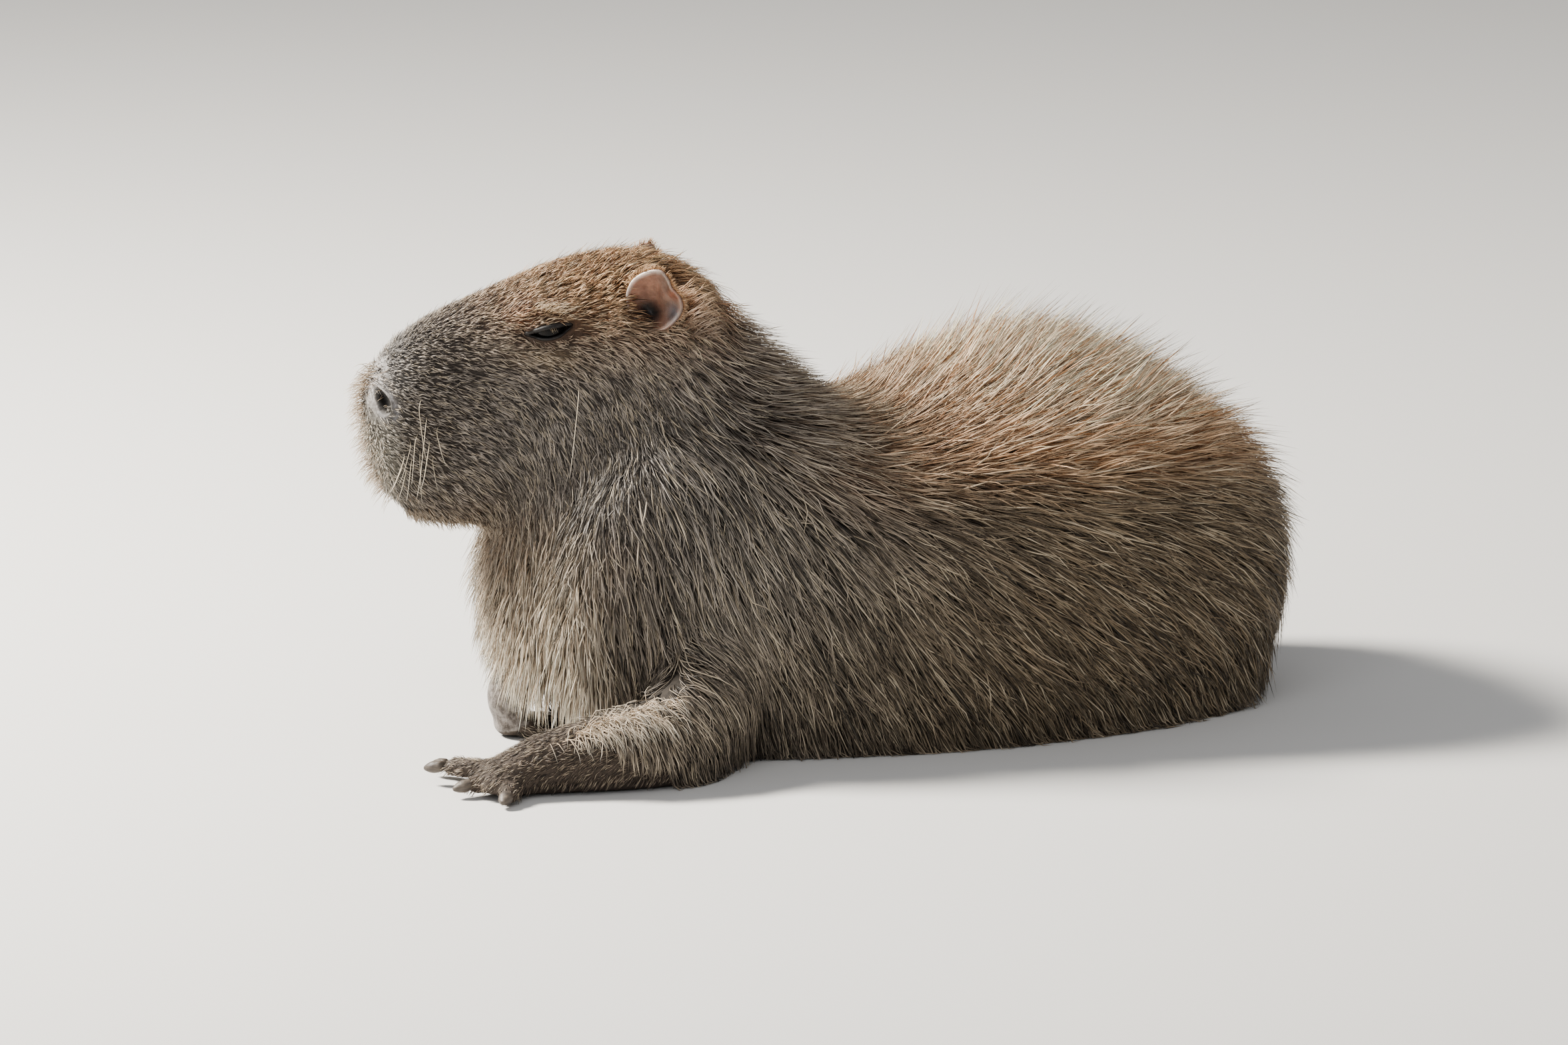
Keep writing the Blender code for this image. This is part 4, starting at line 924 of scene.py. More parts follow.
def limb_forms():
    """The legs, feet and toes, a little inside those of the solids."""
    paths = (FORELEG_LEFT, FORELEG_RIGHT, PALM_LEFT, PALM_RIGHT)
    pieces = [limb("leg", path, grow=-SKIN_INSET) for path in paths]
    pieces.append(ellipsoid("wrist", *WRIST_RIGHT))
    pieces += [toe(root, tip, FORE_TOE_RADIUS) for root, tip in (*TOES_LEFT, *TOES_RIGHT)]
    for side, shift in HIND_SIDES:
        pieces.append(limb("sole", shifted(HIND_SOLE, side, shift), grow=-SOLE_INSET))
        pieces += [toe(*shifted(pair, side, shift), HIND_TOE_RADIUS) for pair in HIND_TOES]
    return pieces


def subtracted(obj, others):
    """Cuts the others, which are used up, out of the object."""
    group = bpy.data.collections.new("operands")
    for other in others:
        group.objects.link(other)
    modifier = obj.modifiers.new("boolean", "BOOLEAN")
    modifier.operation = "DIFFERENCE"
    modifier.operand_type = "COLLECTION"
    modifier.collection = group
    modifier.solver = "MANIFOLD"
    applied(obj)
    for other in others:
        bpy.data.objects.remove(other)
    bpy.data.collections.remove(group)
    return obj


def refined(obj, near):
    """Each face whose points are all near is split into four."""
    points = points_of(obj.data)
    inside = near(points)
    work = bmesh.new()
    work.from_mesh(obj.data)
    work.verts.ensure_lookup_table()
    edges = [edge for edge in work.edges if inside[edge.verts[0].index] and inside[edge.verts[1].index]]
    bmesh.ops.subdivide_edges(work, edges=edges, cuts=1, use_grid_fill=True, smooth=0.0)
    bmesh.ops.triangulate(work, faces=[face for face in work.faces if len(face.verts) > 4])
    work.to_mesh(obj.data)
    work.free()
    return obj


def near_features(points):
    ahead, aside, height = head_places(points)
    places = np.stack((ahead, np.abs(aside), height), axis=1)
    near = np.zeros(len(points), bool)
    for place, reach in FINE_AREA:
        near |= np.linalg.norm(places - np.array(place), axis=1) < reach
    return near


def eye_axes(side):
    """Forward, outward and up at an eye, tilted so that its front corner is lower."""
    forward, left, up = head_axes()
    tilted = math.cos(SLIT_TILT) * forward - math.sin(SLIT_TILT) * up
    raised = math.sin(SLIT_TILT) * forward + math.cos(SLIT_TILT) * up
    return tilted, side * left, raised


def slit_height(share, upper):
    """Half height of the opening at a share of -1 to 1 along it, above or below its middle."""
    round_part = np.clip(1 - np.abs(share) ** 2.2, 0, 1) ** 0.8
    lean = 1 - 0.45 * np.clip(share, 0, 1) ** 1.5
    return SLIT_SIZE[1] / 2 * round_part * lean * (0.62 if upper else 1.15)


def shape_lids(points, side):
    """Swells the skin over the eyeball and opens it along the slit."""
    axes = eye_axes(side)
    along, out, up = local(points, on_side(EYE_PLACE, side), axes)
    flat = (along / LID_RADII[0]) ** 2 + (up / LID_RADII[2]) ** 2
    close = (flat < 2.2) & (out > -0.004)
    dome = LID_RADII[1] * np.sqrt(np.clip(1 - flat, 0, 1))
    wanted = np.where(flat < 1, np.maximum(out, dome), out)
    wanted = wanted - 0.0016 * about(np.sqrt(flat), 1.06, 0.10)
    fold = about(up - 0.0115 - 0.15 * along, 0, 0.0016) * (np.abs(along) < 0.020)
    wanted = wanted - 0.0010 * fold
    share = along / (SLIT_SIZE[0] / 2)
    half = np.where(up > 0, slit_height(share, True), slit_height(share, False))
    inside = above(half, np.abs(up), 0.0005) * (np.abs(share) < 1)
    wanted = wanted + inside * (0.002 - wanted)
    moved = np.where(close, wanted - out, 0)
    return points + moved[:, None] * axes[1]


def sink_ear(points, side):
    """Takes the skin back behind the dish of the ear."""
    axes = ear_axes(side)
    along, out, up = local(points, on_side(EAR_PLACE, side), axes)
    share = below(np.hypot(along / 0.024, (up + 0.002) / 0.026), 1, 0.06) * (out > -0.045)
    moved = share * (np.minimum(out, -EAR_DEPTH - EAR_THICKNESS - 0.003) - out)
    return points + moved[:, None] * axes[1]


def shape_nostril(points, side):
    """A comma-shaped hole with a raised rim, on the side of the nose."""
    forward, left, up = head_axes()
    ahead, aside, height = head_places(points)
    along = ahead - NOSTRIL_PLACE[0]
    high = height - NOSTRIL_PLACE[2]
    same_side = side * aside > 0.010
    tilt = along - 0.35 * high - 18 * high**2
    round_hole = np.hypot(tilt / NOSTRIL_SIZE[0], high / NOSTRIL_SIZE[1])
    hole = below(round_hole, 1, 0.16) * same_side
    rim = about(round_hole, 1.45, 0.28) * same_side
    inward = -0.55 * forward - 0.80 * side * left - 0.15 * up
    return points + (hole * NOSTRIL_SIZE[2])[:, None] * inward - (rim * 0.0014)[:, None] * inward


def path_distance(points, path):
    """How far each point is from a line through places of the face."""
    line = np.array([on_head(*place) for place in path])
    best = np.full(len(points), np.inf)
    for a, b in zip(line, line[1:]):
        step = b - a
        share = np.clip((points - a) @ step / (step @ step), 0, 1)
        best = np.minimum(best, np.linalg.norm(points - a - share[:, None] * step, axis=1))
    return best


def shape_mouth(points, normals):
    """A groove between the lips, and the cleft of the upper lip."""
    other = [(ahead, -aside, height) for ahead, aside, height in reversed(MOUTH_SIDE)]
    mouth = path_distance(points, (*MOUTH_SIDE, MOUTH_FRONT, *other))
    cleft = path_distance(points, LIP_CLEFT)
    depth = 0.0035 * about(mouth, 0, 0.0035) + 0.0020 * about(cleft, 0, 0.0028)
    lips = 0.0012 * about(mouth, 0.008, 0.004)
    return points - (depth - lips)[:, None] * normals


def creased(points):
    """0 to 1: where flesh fills the folds above the left elbow and behind the cheeks."""
    x, y, z = points.T
    elbow = above(x, 0.010, 0.006) * below(y, -0.085, 0.008) * below(z, 0.15, 0.012)
    elbow = elbow * below(x, 0.27, 0.01) * above(z, 0.016, 0.004)
    _, aside, _ = head_places(points)
    cheek = about(past_cheeks(points), 0.008, 0.032) * above(np.abs(aside), 0.050, 0.004)
    return np.maximum(elbow, cheek)


def make_skin(body):
    """The whole skin in one piece, with lids, nostrils and lips, from the bare form of the body."""
    pockets = [limb("pocket", shifted(HIND_POCKET, side, shift), steps=2) for side, shift in HIND_SIDES]
    subtracted(body, pockets)
    skin = remeshed("skin", [body, *limb_forms()], SKIN_VOXEL)
    relaxed(skin, SKIN_PASSES, np.full(len(skin.data.vertices), 0.35))
    relaxed(skin, CREASE_PASSES, 0.5 * creased(points_of(skin.data)))
    refined(skin, lambda points: behind_head(points) < 0.3)
    refined(skin, near_features)
    points = points_of(skin.data)
    normals = normals_of(skin.data)
    ahead, _, height = head_places(points)
    points[:, 2] -= BRIDGE_DROP * about(ahead, 0.150, 0.055) * above(height, 0.375, 0.012)
    for side in SIDES:
        points = shape_lids(points, side)
        points = shape_nostril(points, side)
        points = sink_ear(points, side)
    points = shape_mouth(points, normals)
    points[:, 2] = np.maximum(points[:, 2], FLOOR_CLEAR)
    set_points(skin.data, points)
    skin.data.shade_smooth()
    return skin


# Coat


def nearest_on(tree, places):
    """Nearest point of the skin to each place, its normal and its distance."""
    found = np.empty((len(places), 3))
    normals = np.empty((len(places), 3))
    distance = np.empty(len(places))
    search = tree.find_nearest
    for index, place in enumerate(places.tolist()):
        point, normal, _, reach = search(place)
        found[index] = point
        normals[index] = normal
        distance[index] = reach
    return found, normals, distance


def sampled(skin, density, count, rng):
    """Places drawn over the skin's triangles, by a density at each of its points."""
    mesh = skin.data
    mesh.calc_loop_triangles()
    corners = np.empty(len(mesh.loop_triangles) * 3, np.int32)
    mesh.loop_triangles.foreach_get("vertices", corners)
    corners = corners.reshape(-1, 3)
    points, normals = points_of(mesh), normals_of(mesh)
    a, b, c = (points[corners[:, k]] for k in range(3))
    area = np.linalg.norm(np.cross(b - a, c - a), axis=1) / 2
    weight = area * density[corners].mean(axis=1)
    chosen = rng.choice(len(corners), size=count, p=weight / weight.sum())
    shares = rng.dirichlet((1, 1, 1), count)
    places = np.einsum("ik,ikd->id", shares, points[corners[chosen]])
    turned = unit(np.einsum("ik,ikd->id", shares, normals[corners[chosen]]))
    return places, turned


def marched(tree, roots, normals, lengths, turns, shares, leg, along):
    """Points on the skin under each strand, stepping along the lie, with the normal at each."""
    here, normal = roots, normals
    track = [here]
    track_normals = [normal]
    for a, b in zip(shares, shares[1:]):
        way = lie(here, normal, leg, along)
        way = unit(way + (turns * b)[:, None] * np.cross(normal, way))
        hang = np.clip(-2 * normal[:, 2] - 0.2, 0, 1) * (0.25 + 0.75 * behind_head(here))
        way = unit(way + hang[:, None] * np.array((0.0, 0.0, -1.5)))
        step = ((b - a) * lengths)[:, None]
        goal = here + way * step
        found, found_normal, distance = nearest_on(tree, goal)
        free = (distance > 0.45 * step[:, 0]) | (hang > 0.3)
        found[free] = goal[free]
        found_normal[free] = normal[free]
        here, normal = found, found_normal
        track.append(here)
        track_normals.append(normal)
    return np.stack(track, axis=1), np.stack(track_normals, axis=1)


def clumped(lines, roots, pull, rng):
    """Draws each strand's outer part towards that of a neighbour, so that hairs gather in tufts."""
    chosen = rng.choice(len(roots), size=max(8, int(CLUMP_SHARE * len(roots))), replace=False)
    tree = KDTree(len(chosen))
    for number, index in enumerate(chosen.tolist()):
        tree.insert(roots[index], number)
    tree.balance()
    owner = np.array([tree.find(root)[1] for root in roots.tolist()])
    guide = chosen[owner]
    return lines + pull[None, :, None] * (lines[guide] - lines), guide


def strand_pattern(steps):
    """The triangles of one three-sided strand that ends in a point."""
    pattern = [(0, 2, 1)]
    for start in range(0, 3 * (steps - 2), 3):
        for k in range(3):
            a, b = start + k, start + (k + 1) % 3
            pattern += [(a, b, b + 3), (a, b + 3, a + 3)]
    last, tip = 3 * (steps - 2), 3 * (steps - 1)
    pattern += [(last + k, last + (k + 1) % 3, tip) for k in range(3)]
    return np.array(pattern)


def strand_mesh(name, lines, normals, widths, thickness, shades, roots_uv):
    """Three-sided strands that taper to a point, as one mesh with colours and a flat map."""
    count, steps, _ = lines.shape
    tangent = unit(np.gradient(lines, axis=1))
    side = unit(np.cross(normals, tangent))
    up = unit(np.cross(tangent, side))
    body = lines[:, :-1]
    half = (widths[:, None] * strand_profile(steps)[None, :-1])[..., None] / 2
    corners = (
        body + side[:, :-1] * half,
        body + up[:, :-1] * half * thickness,
        body - side[:, :-1] * half,
    )
    rings = np.stack(corners, axis=2).reshape(count, (steps - 1) * 3, 3)
    points = np.concatenate((rings, lines[:, -1:]), axis=1)
    starts = np.arange(count) * points.shape[1]
    triangles = (strand_pattern(steps)[None] + starts[:, None, None]).reshape(-1, 3)
    obj = mesh_from_arrays(name, points.reshape(-1, 3), triangles)
    level = np.append(np.repeat(np.arange(steps - 1), 3), steps - 1)
    set_colours(obj.data, shades[:, level].reshape(-1, 3))
    across = np.append(np.tile((-0.5, 0.0, 0.5), steps - 1), 0.0)
    place = np.stack((level / (steps - 1) - 0.5, across), axis=1) * TUFT_PATCH
    uv = (roots_uv[:, None] + place[None]).reshape(-1, 2)
    set_map(obj.data, uv[triangles.ravel()])
    obj.data.shade_smooth()
    return obj


def strand_profile(steps):
    """Share of the full width at each step: narrow at the root, widest near a third, then to a point."""
    share = np.linspace(0, 1, steps)
    return np.clip(0.75 + 1.1 * share - 1.85 * share**2, 0.02, 1)


def set_colours(mesh, colours):
    values = np.ones((len(colours), 4), np.float32)
    values[:, :3] = np.clip(colours, 0, 1)
    attribute = mesh.attributes.new("Coat", "FLOAT_COLOR", "POINT")
    attribute.data.foreach_set("color", values.ravel())


def set_number(mesh, name, values):
    attribute = mesh.attributes.new(name, "FLOAT", "POINT")
    attribute.data.foreach_set("value", np.asarray(values, np.float32))


def set_map(mesh, corners):
    layer = mesh.uv_layers.new(name="OFBake")
    layer.uv.foreach_set("vector", np.clip(corners, 0, 1).astype(np.float32).ravel())


def strand_shades(middle, tips, levels, rng, guide, root_share):
    """Colours along each strand: dark at the root as painted shade deep in the coat, paler at the tip, and
    different from hair to hair.
    """
    count = len(middle)
    own = 1 + OWN_SPREAD * rng.standard_normal(count)
    shared = (1 + TUFT_SPREAD * rng.standard_normal(count))[guide]
    bright = np.clip(own * shared, 0.25, 2.1)
    kind = rng.random(count)
    pale = (kind > PALE_ABOVE)[:, None]
    dark = kind < DARK_BELOW
    bright = np.where(dark, bright * DARK_SHADE, bright)[:, None]
    middle = middle * bright
    tips = np.where(dark[:, None], middle * 1.15, tips * bright)
    tips = np.where(pale, tips + 0.45 * (linear(SUNLIT_RUMP_AND_PALE_TIP) - tips), tips)
    middle = np.where(pale, middle + 0.40 * (linear(FLANK_TIP) - middle), middle)
    shades = []
    for level in levels:
        # Painted shade: darker towards the root, deep in the coat
        rising = min(1.0, level / ROOT_ENDS)
        colour = middle * (root_share + (1 - root_share) * rising)
        tipping = min(1.0, max(0.0, (level - TIP_STARTS) / TIP_FADE))
        shades.append(colour + tipping * (tips - colour))
    return np.stack(shades, axis=1)


def raised(track, normals, roots, rise, shares, rng):
    """The tracks on the skin lifted to the strands' heights, a few of them as strays."""
    heights = rise(roots) * rng.uniform(0.25, 1.1, len(roots)) ** 0.8
    stray = rng.random(len(roots)) < STRAY_SHARE * (1 + bristling(roots))
    stray_rise = STRAY_RISE * (1 + 2.2 * bristling(roots))
    heights = np.where(stray, np.minimum(STRAY_LIMIT * heights, heights + stray_rise), heights)
    climb = shares[None] ** (0.75 + 0.6 * bristling(roots))[:, None]
    return track + normals * (heights[:, None] * climb)[..., None]


def grow(kind, skin, tree, density, rng):
    """Strands over the skin where the density says, in pieces that stay small enough."""
    count = kind.strands
    roots, normals = sampled(skin, density, count, rng)
    _, number, along = limb_distance(roots)
    leg = np.full(count, kind.on_leg)
    lengths = kind.length(roots) * rng.uniform(*LENGTH_SPREAD, count)
    widths = kind.width(roots) * rng.uniform(*WIDTH_SPREAD, count)
    shares = np.linspace(0, 1, kind.steps)
    turns = rng.normal(0, kind.curl, count) * np.where(rng.random(count) < WILD_SHARE, WILD_TURN, 1.0)
    track, track_normals = marched(tree, roots, normals, lengths, turns, shares, leg, along)
    lines = raised(track, track_normals, roots, kind.rise, shares, rng)
    lines[:, 0] -= normals * ROOT_DEPTH
    sway = rng.normal(0, SWAY, (count, kind.steps)) * lengths[:, None] * (shares * (1 - 0.4 * shares))[None]
    tangent = unit(np.gradient(lines, axis=1))
    lines += np.cross(track_normals, tangent) * sway[..., None]
    lines, guide = clumped(lines, roots, kind.pull * shares**1.5, rng)
    lines[..., 2] = np.maximum(lines[..., 2], HAIR_FLOOR)
    shades = strand_shades(*markings(roots, leg), shares, rng, guide, kind.root_share)
    parts = (lines, track_normals, widths, shades, unwrapped(roots, number, leg))
    order = np.argsort(roots[:, 0], kind="stable")
    pieces = []
    for index, chosen in enumerate(np.array_split(order, math.ceil(count / STRANDS_A_PIECE)), 1):
        line, normal, width, shade, uv = (part[chosen] for part in parts)
        name = f"{kind.name}_{index}"
        pieces.append(strand_mesh(name, line, normal, width, STRAND_THICKNESS, shade, uv))
    return pieces


def body_length(points):
    """Length of the hair by place on the neck and trunk."""
    x, y, z = points.T
    back = np.clip(2 * behind_head(points, 0.045) - 1, 0, 1)
    elbow = below(x, 0.06, 0.02) * below(y, -0.13, 0.01) * below(z, 0.10, 0.01)
    full = COAT_LENGTH - BRISTLE_SHORTER * bristling(points)
    full = full - CHEST_SHORTER * chest_share(points) - ELBOW_SHORTER * elbow
    return NECK_LENGTH + (full - NECK_LENGTH) * back


def body_rise(points):
    """How far the tips of the long coat stand off the skin."""
    x, _, z = points.T
    nape = about(x, 0.195, 0.055) * above(z, 0.275, 0.014)
    share = behind_head(points, 0.03)
    rise = 0.0070 * share + 0.003 + 0.016 * chest_share(points) + 0.024 * nape
    return rise + BRISTLE_STAND * bristling(points)


def head_length(points):
    """Length of the hair by place on the head: shortest on the muzzle, round the eyes and by the ears."""
    ahead, _, height = head_places(points)
    muzzle = above(ahead, 0.16, 0.02)
    top = above(height, 0.395, 0.010)
    cheek = below(height, 0.285, 0.025) * below(ahead, 0.14, 0.025)
    back = np.clip(2 * behind_head(points, 0.05), 0, 1)
    length = 0.014 + 0.014 * back + 0.014 * cheek + 0.006 * top - 0.006 * muzzle
    eye = np.minimum(*(np.linalg.norm(points - on_side(EYE_PLACE, side), axis=1) for side in SIDES))
    fore_ear = np.hypot(ahead - EAR_PLACE[0] - 0.034, height - EAR_PLACE[2]) / 0.022
    return length * (0.45 + 0.55 * above(eye, 0.027, 0.005)) * (1 - 0.6 * np.exp(-(fore_ear**2)))


def head_rise(points):
    """How far the tips of the head's hair stand off the skin."""
    ahead, _, height = head_places(points)
    top = above(height, 0.405, 0.008) * below(ahead, 0.19, 0.02)
    front = above(ahead, 0.20, 0.02)
    crown = 0.35 + 0.65 * below(ahead, 0.075, 0.015)
    return 0.0020 + 0.0045 * behind_head(points, 0.03) + 0.0100 * top * crown + 0.003 * front


def body_width(points):
    return 0.0012 + 0.0005 * behind_head(points, 0.04)


def head_width(points):
    return 0.0011 + 0.0003 * behind_head(points, 0.04)


def leg_value(value):
    """The same length, width or rise for each strand of the legs."""
    return lambda points: np.full(len(points), value)


Coat = namedtuple("Coat", "name strands steps curl pull root_share length width rise on_leg")
LEG_FIELDS = (leg_value(LEG_LENGTH), leg_value(LEG_WIDTH), leg_value(LEG_RISE))
COATS = (
    Coat("coat_body", BODY_STRANDS, 4, 0.20, 0.22, 0.36, body_length, body_width, body_rise, False),
    Coat("coat_head", HEAD_STRANDS, 3, 0.28, 0.16, 0.30, head_length, head_width, head_rise, False),
    Coat("coat_legs", LEG_STRANDS, 3, 0.30, 0.40, 0.28, *LEG_FIELDS, True),
)


def leg_mask(points, form_tree, rng):
    """Which points have the short hair of the legs, with an uneven edge that slants on the left foreleg."""
    outside, number, _ = limb_distance(points)
    end = np.array(LEG_HAIR_ENDS)[number] + rng.normal(0, 0.005, len(points))
    end += np.where(number == 0, 0.070 * below(points[:, 2], 0.046, 0.005), 0)
    return (outside < LEG_REACH) & (body_distance(points, form_tree) > 0.002) & (points[:, 0] < end)


def eye_mask(points):
    """Which points lie in the slits of the eyes or in the dark wedge before them."""
    _, aside, _ = head_places(points)
    eye = np.zeros(len(points), bool)
    for side in SIDES:
        along, _, up = local(points, on_side(EYE_PLACE, side), eye_axes(side))
        share = along / (SLIT_SIZE[0] / 2 * 1.06)
        over, under = slit_height(share, True) + LID_CLEAR[0], slit_height(share, False) + LID_CLEAR[1]
        slit = (np.abs(share) < 1) & (up < over) & (up > -under)
        wedge = (share > 0.9) & (share < 1.45) & (np.abs(up) < WEDGE_CLEAR)
        eye |= (slit | wedge) & (side * aside > 0)
    return eye


def ear_mask(points):
    ear = np.zeros(len(points), bool)
    for side in SIDES:
        along, out, up = local(points, on_side(EAR_PLACE, side), ear_axes(side))
        ear |= (np.hypot(along / EAR_CLEAR, (up + 0.002) / EAR_CLEAR) < 1) & (out > -0.040)
    return ear


def coat_pieces(skin, tree, form_tree):
    """The whole coat, and which points of the skin are a leg's and the bare wrist's."""
    rng = np.random.default_rng(COAT_SEED)
    points, normals = points_of(skin.data), normals_of(skin.data)
    leg = leg_mask(points, form_tree, rng)
    ahead, _, height = head_places(points)
    upper, off_floor = normals[:, 2], points[:, 2] > 0.006
    wrist = np.linalg.norm((points - np.array(WRIST_RIGHT[0])) / np.array(WRIST_CLEAR), axis=1) < 1.15
    reach = (ahead - NOSTRIL_PLACE[0] - 0.002) / NOSTRIL_CLEAR[0]
    hole = np.hypot(reach, (height - NOSTRIL_PLACE[2]) / NOSTRIL_CLEAR[1]) < 1
    nose = (ahead > 0.243) & (height > 0.300)
    ear = ear_mask(points)
    share = behind_head(points, 0.020)
    on_body = (upper > -0.62) & off_floor & ~leg & (behind_head(points) > 0.10)
    on_face = ~leg & (share < 0.90) & ~eye_mask(points) & ~hole & (points[:, 2] > 0.1)
    densities = (
        on_body * (0.75 + 0.9 * bristling(points)) * np.clip(1.6 * share, 0, 1) * ~ear,
        on_face * (1.0 - 0.5 * nose) * np.clip(1.5 - 1.5 * share, 0, 1) * ~ear,
        (leg & off_floor & (upper > -0.5) & ~wrist) * 1.0,
    )
    coat = []
    for kind, density in zip(COATS, densities):
        coat += grow(kind, skin, tree, density, rng)
    return coat, leg, wrist


def body_distance(points, form_tree):
    """How far each point is outside the bare form of the body without its legs."""
    found, normals, distance = nearest_on(form_tree, points)
    return np.where(dot(points - found, normals) > 0, distance, -distance)


# Small parts of the head


def make_eye(side):
    """A dark eyeball, set behind the lids."""
    name = "eyeball_left" if side > 0 else "eyeball_right"
    eye = ellipsoid(name, on_side(EYE_PLACE, side), (EYE_RADIUS,) * 3, axes=eye_axes(side), segments=64)
    eye.data.shade_smooth()
    return eye


def rim_line(side, upper, out):
    """A lid's edge from corner to corner, lying on the eyeball."""
    axes = eye_axes(side)
    line = []
    for share in np.linspace(-1, 1, 33):
        along = share * SLIT_SIZE[0] / 2
        up = slit_height(np.array(share), upper) * (1 if upper else -1)
        if abs(share) > 0.985:
            up = 0.0
        flat = min(1.0, (along / LID_RADII[0]) ** 2 + (up / LID_RADII[2]) ** 2)
        lid = LID_RADII[1] * math.sqrt(1 - flat)
        ball = math.sqrt(max(0.0, EYE_RADIUS**2 - along**2 - up**2))
        height = max(ball + 0.0004, 0.6 * lid + 0.4 * ball) + out
        line.append(on_side(EYE_PLACE, side) + along * axes[0] + up * axes[2] + height * axes[1])
    return np.array(line)


def tube(name, line, radii, sides=10):
    """A round tube along a line, closed at both ends."""
    along = unit(np.gradient(line, axis=0))
    side = unit(np.cross(along, (0.3, 0.2, 1.0)))
    up = np.cross(side, along)
    rings = []
    for place, across, high, radius in zip(line, side, up, radii):
        rings.append(ring(place, across, high, radius, radius, radius, 2.0, count=sides))
    return loft(name, rings)


def make_lid_rims(side):
    taper = 0.55 + 0.45 * np.sqrt(np.clip(1 - np.linspace(-1, 1, 33) ** 2, 0, 1))
    upper = tube("rim", rim_line(side, True, 0.0012), 0.0025 * taper)
    lower = tube("rim", rim_line(side, False, 0.0002), 0.0014 * taper)
    rims = joined("lids_left" if side > 0 else "lids_right", [upper, lower])
    rims.data.shade_smooth()
    return rims


def ear_axes(side):
    """Forward, outward and up of an ear, which opens outwards and a little forwards."""
    forward, left, up = head_axes()
    outward_axis = math.cos(EAR_YAW) * side * left + math.sin(EAR_YAW) * forward
    ahead = math.cos(EAR_YAW) * forward - math.sin(EAR_YAW) * side * left
    raised = math.cos(EAR_LEAN) * up + math.sin(EAR_LEAN) * outward_axis
    outward_axis = math.cos(EAR_LEAN) * outward_axis - math.sin(EAR_LEAN) * up
    return ahead, outward_axis, raised


def rim_point(turn):
    """A point of the ear's rim, from a closed curve through the rim points."""
    count = len(EAR_RIM)
    index = int(math.floor(turn)) % count
    t = turn - math.floor(turn)
    a, b, c, d = (np.asarray(EAR_RIM[(index + k) % count]) for k in (-1, 0, 1, 2))
    return 0.5 * (2 * b + (c - a) * t + (2 * a - 5 * b + 4 * c - d) * t * t + (3 * b - a - 3 * c + d) * t**3)


def ear_ring(share, back, rims):
    """Places across the dish and out of it, at a share of the way from the canal to the rim."""
    canal = np.asarray(EAR_CANAL)
    flat = canal + share * (rims - canal)
    turn_in = max(0.0, (share - 0.85) / 0.15)
    ridge = about(flat[:, 0], -0.006, 0.0035) * about(share, 0.6, 0.2)
    out = -EAR_DEPTH * (1 - share**1.6) + 0.0010 * turn_in + 0.0022 * ridge
    if back:
        flat = flat + 0.45 * EAR_THICKNESS * unit(rims - canal)
        out = out - EAR_THICKNESS * (1 - 0.55 * turn_in)
    return flat, out


def make_ear(side):
    """A dish that deepens towards the canal, with a thick turned rim, a fold and a closed back."""
    ahead, outward_axis, up = ear_axes(side)
    turns = np.arange(EAR_SIDES) * len(EAR_RIM) / EAR_SIDES
    rims = np.array([rim_point(turn) for turn in turns])
    edge = rims + 0.45 * EAR_THICKNESS * unit(rims - np.asarray(EAR_CANAL))
    places = [ear_ring(share, False, rims) for share in EAR_SHARES]
    places.append((edge, np.full(EAR_SIDES, -0.0002)))
    places += [ear_ring(share, True, rims) for share in reversed(EAR_SHARES)]
    rings = []
    for flat, out in places:
        spread = flat[:, :1] * ahead + flat[:, 1:] * up + out[:, None] * outward_axis
        rings.append(on_side(EAR_PLACE, side) + spread)
    ear = loft("ear_skin_left" if side > 0 else "ear_skin_right", rings)
    ear.data.shade_smooth()
    return ear


def place_on_skin(tree, ahead, aside, height):
    found, normal, _, _ = tree.find_nearest(Vector(on_head(ahead, aside, height)))
    return np.array(found), np.array(normal)


def bent_hair(root, ways, length, steps):
    """A hair that leaves its root in the first way and bends through the others."""
    ways = unit(np.asarray(ways, float))
    keys = np.linspace(0, len(ways) - 1, steps)
    line = [np.asarray(root, float)]
    for key in keys[1:]:
        low = min(int(key), len(ways) - 2)
        way = ways[low] + (key - low) * (ways[low + 1] - ways[low])
        line.append(line[-1] + way / np.linalg.norm(way) * length / (steps - 1))
    return np.array(line)


class Hairs:
    """Single hairs, added one by one, that become one piece."""

    def __init__(self, name, colours=None):
        self.name, self.colours = name, colours
        self.lines, self.widths = [], []

    def add(self, root, ways, length, width, steps=4):
        self.lines.append(bent_hair(root, ways, length, steps))
        self.widths.append(width)

    def piece(self, rng, lowest=LOWEST):
        """The mesh of all the hairs, coloured as the coat is there where no colours are given."""
        lines = np.maximum(np.asarray(self.lines), lowest)
        count, steps, _ = lines.shape
        tangent = unit(np.gradient(lines, axis=1))
        reference = np.tile(np.array((0.2, -0.9, 0.35)), (count, steps, 1))
        normals = unit(reference - tangent * dot(reference, tangent)[..., None])
        bright = rng.uniform(0.6, 1.3, count)[:, None, None]
        level = np.linspace(0, 1, steps)[None, :, None]
        roots = lines[:, 0]
        if self.colours:
            low, high = (linear(colour) for colour in self.colours)
        else:
            low, high = (part[:, None] for part in markings(roots, np.zeros(count, bool)))
        shades = (low + level**2 * (high - low)) * bright
        widths = np.asarray(self.widths)
        return strand_mesh(self.name, lines, normals, widths, HAIR_THICKNESS, shades, unwrapped(roots))


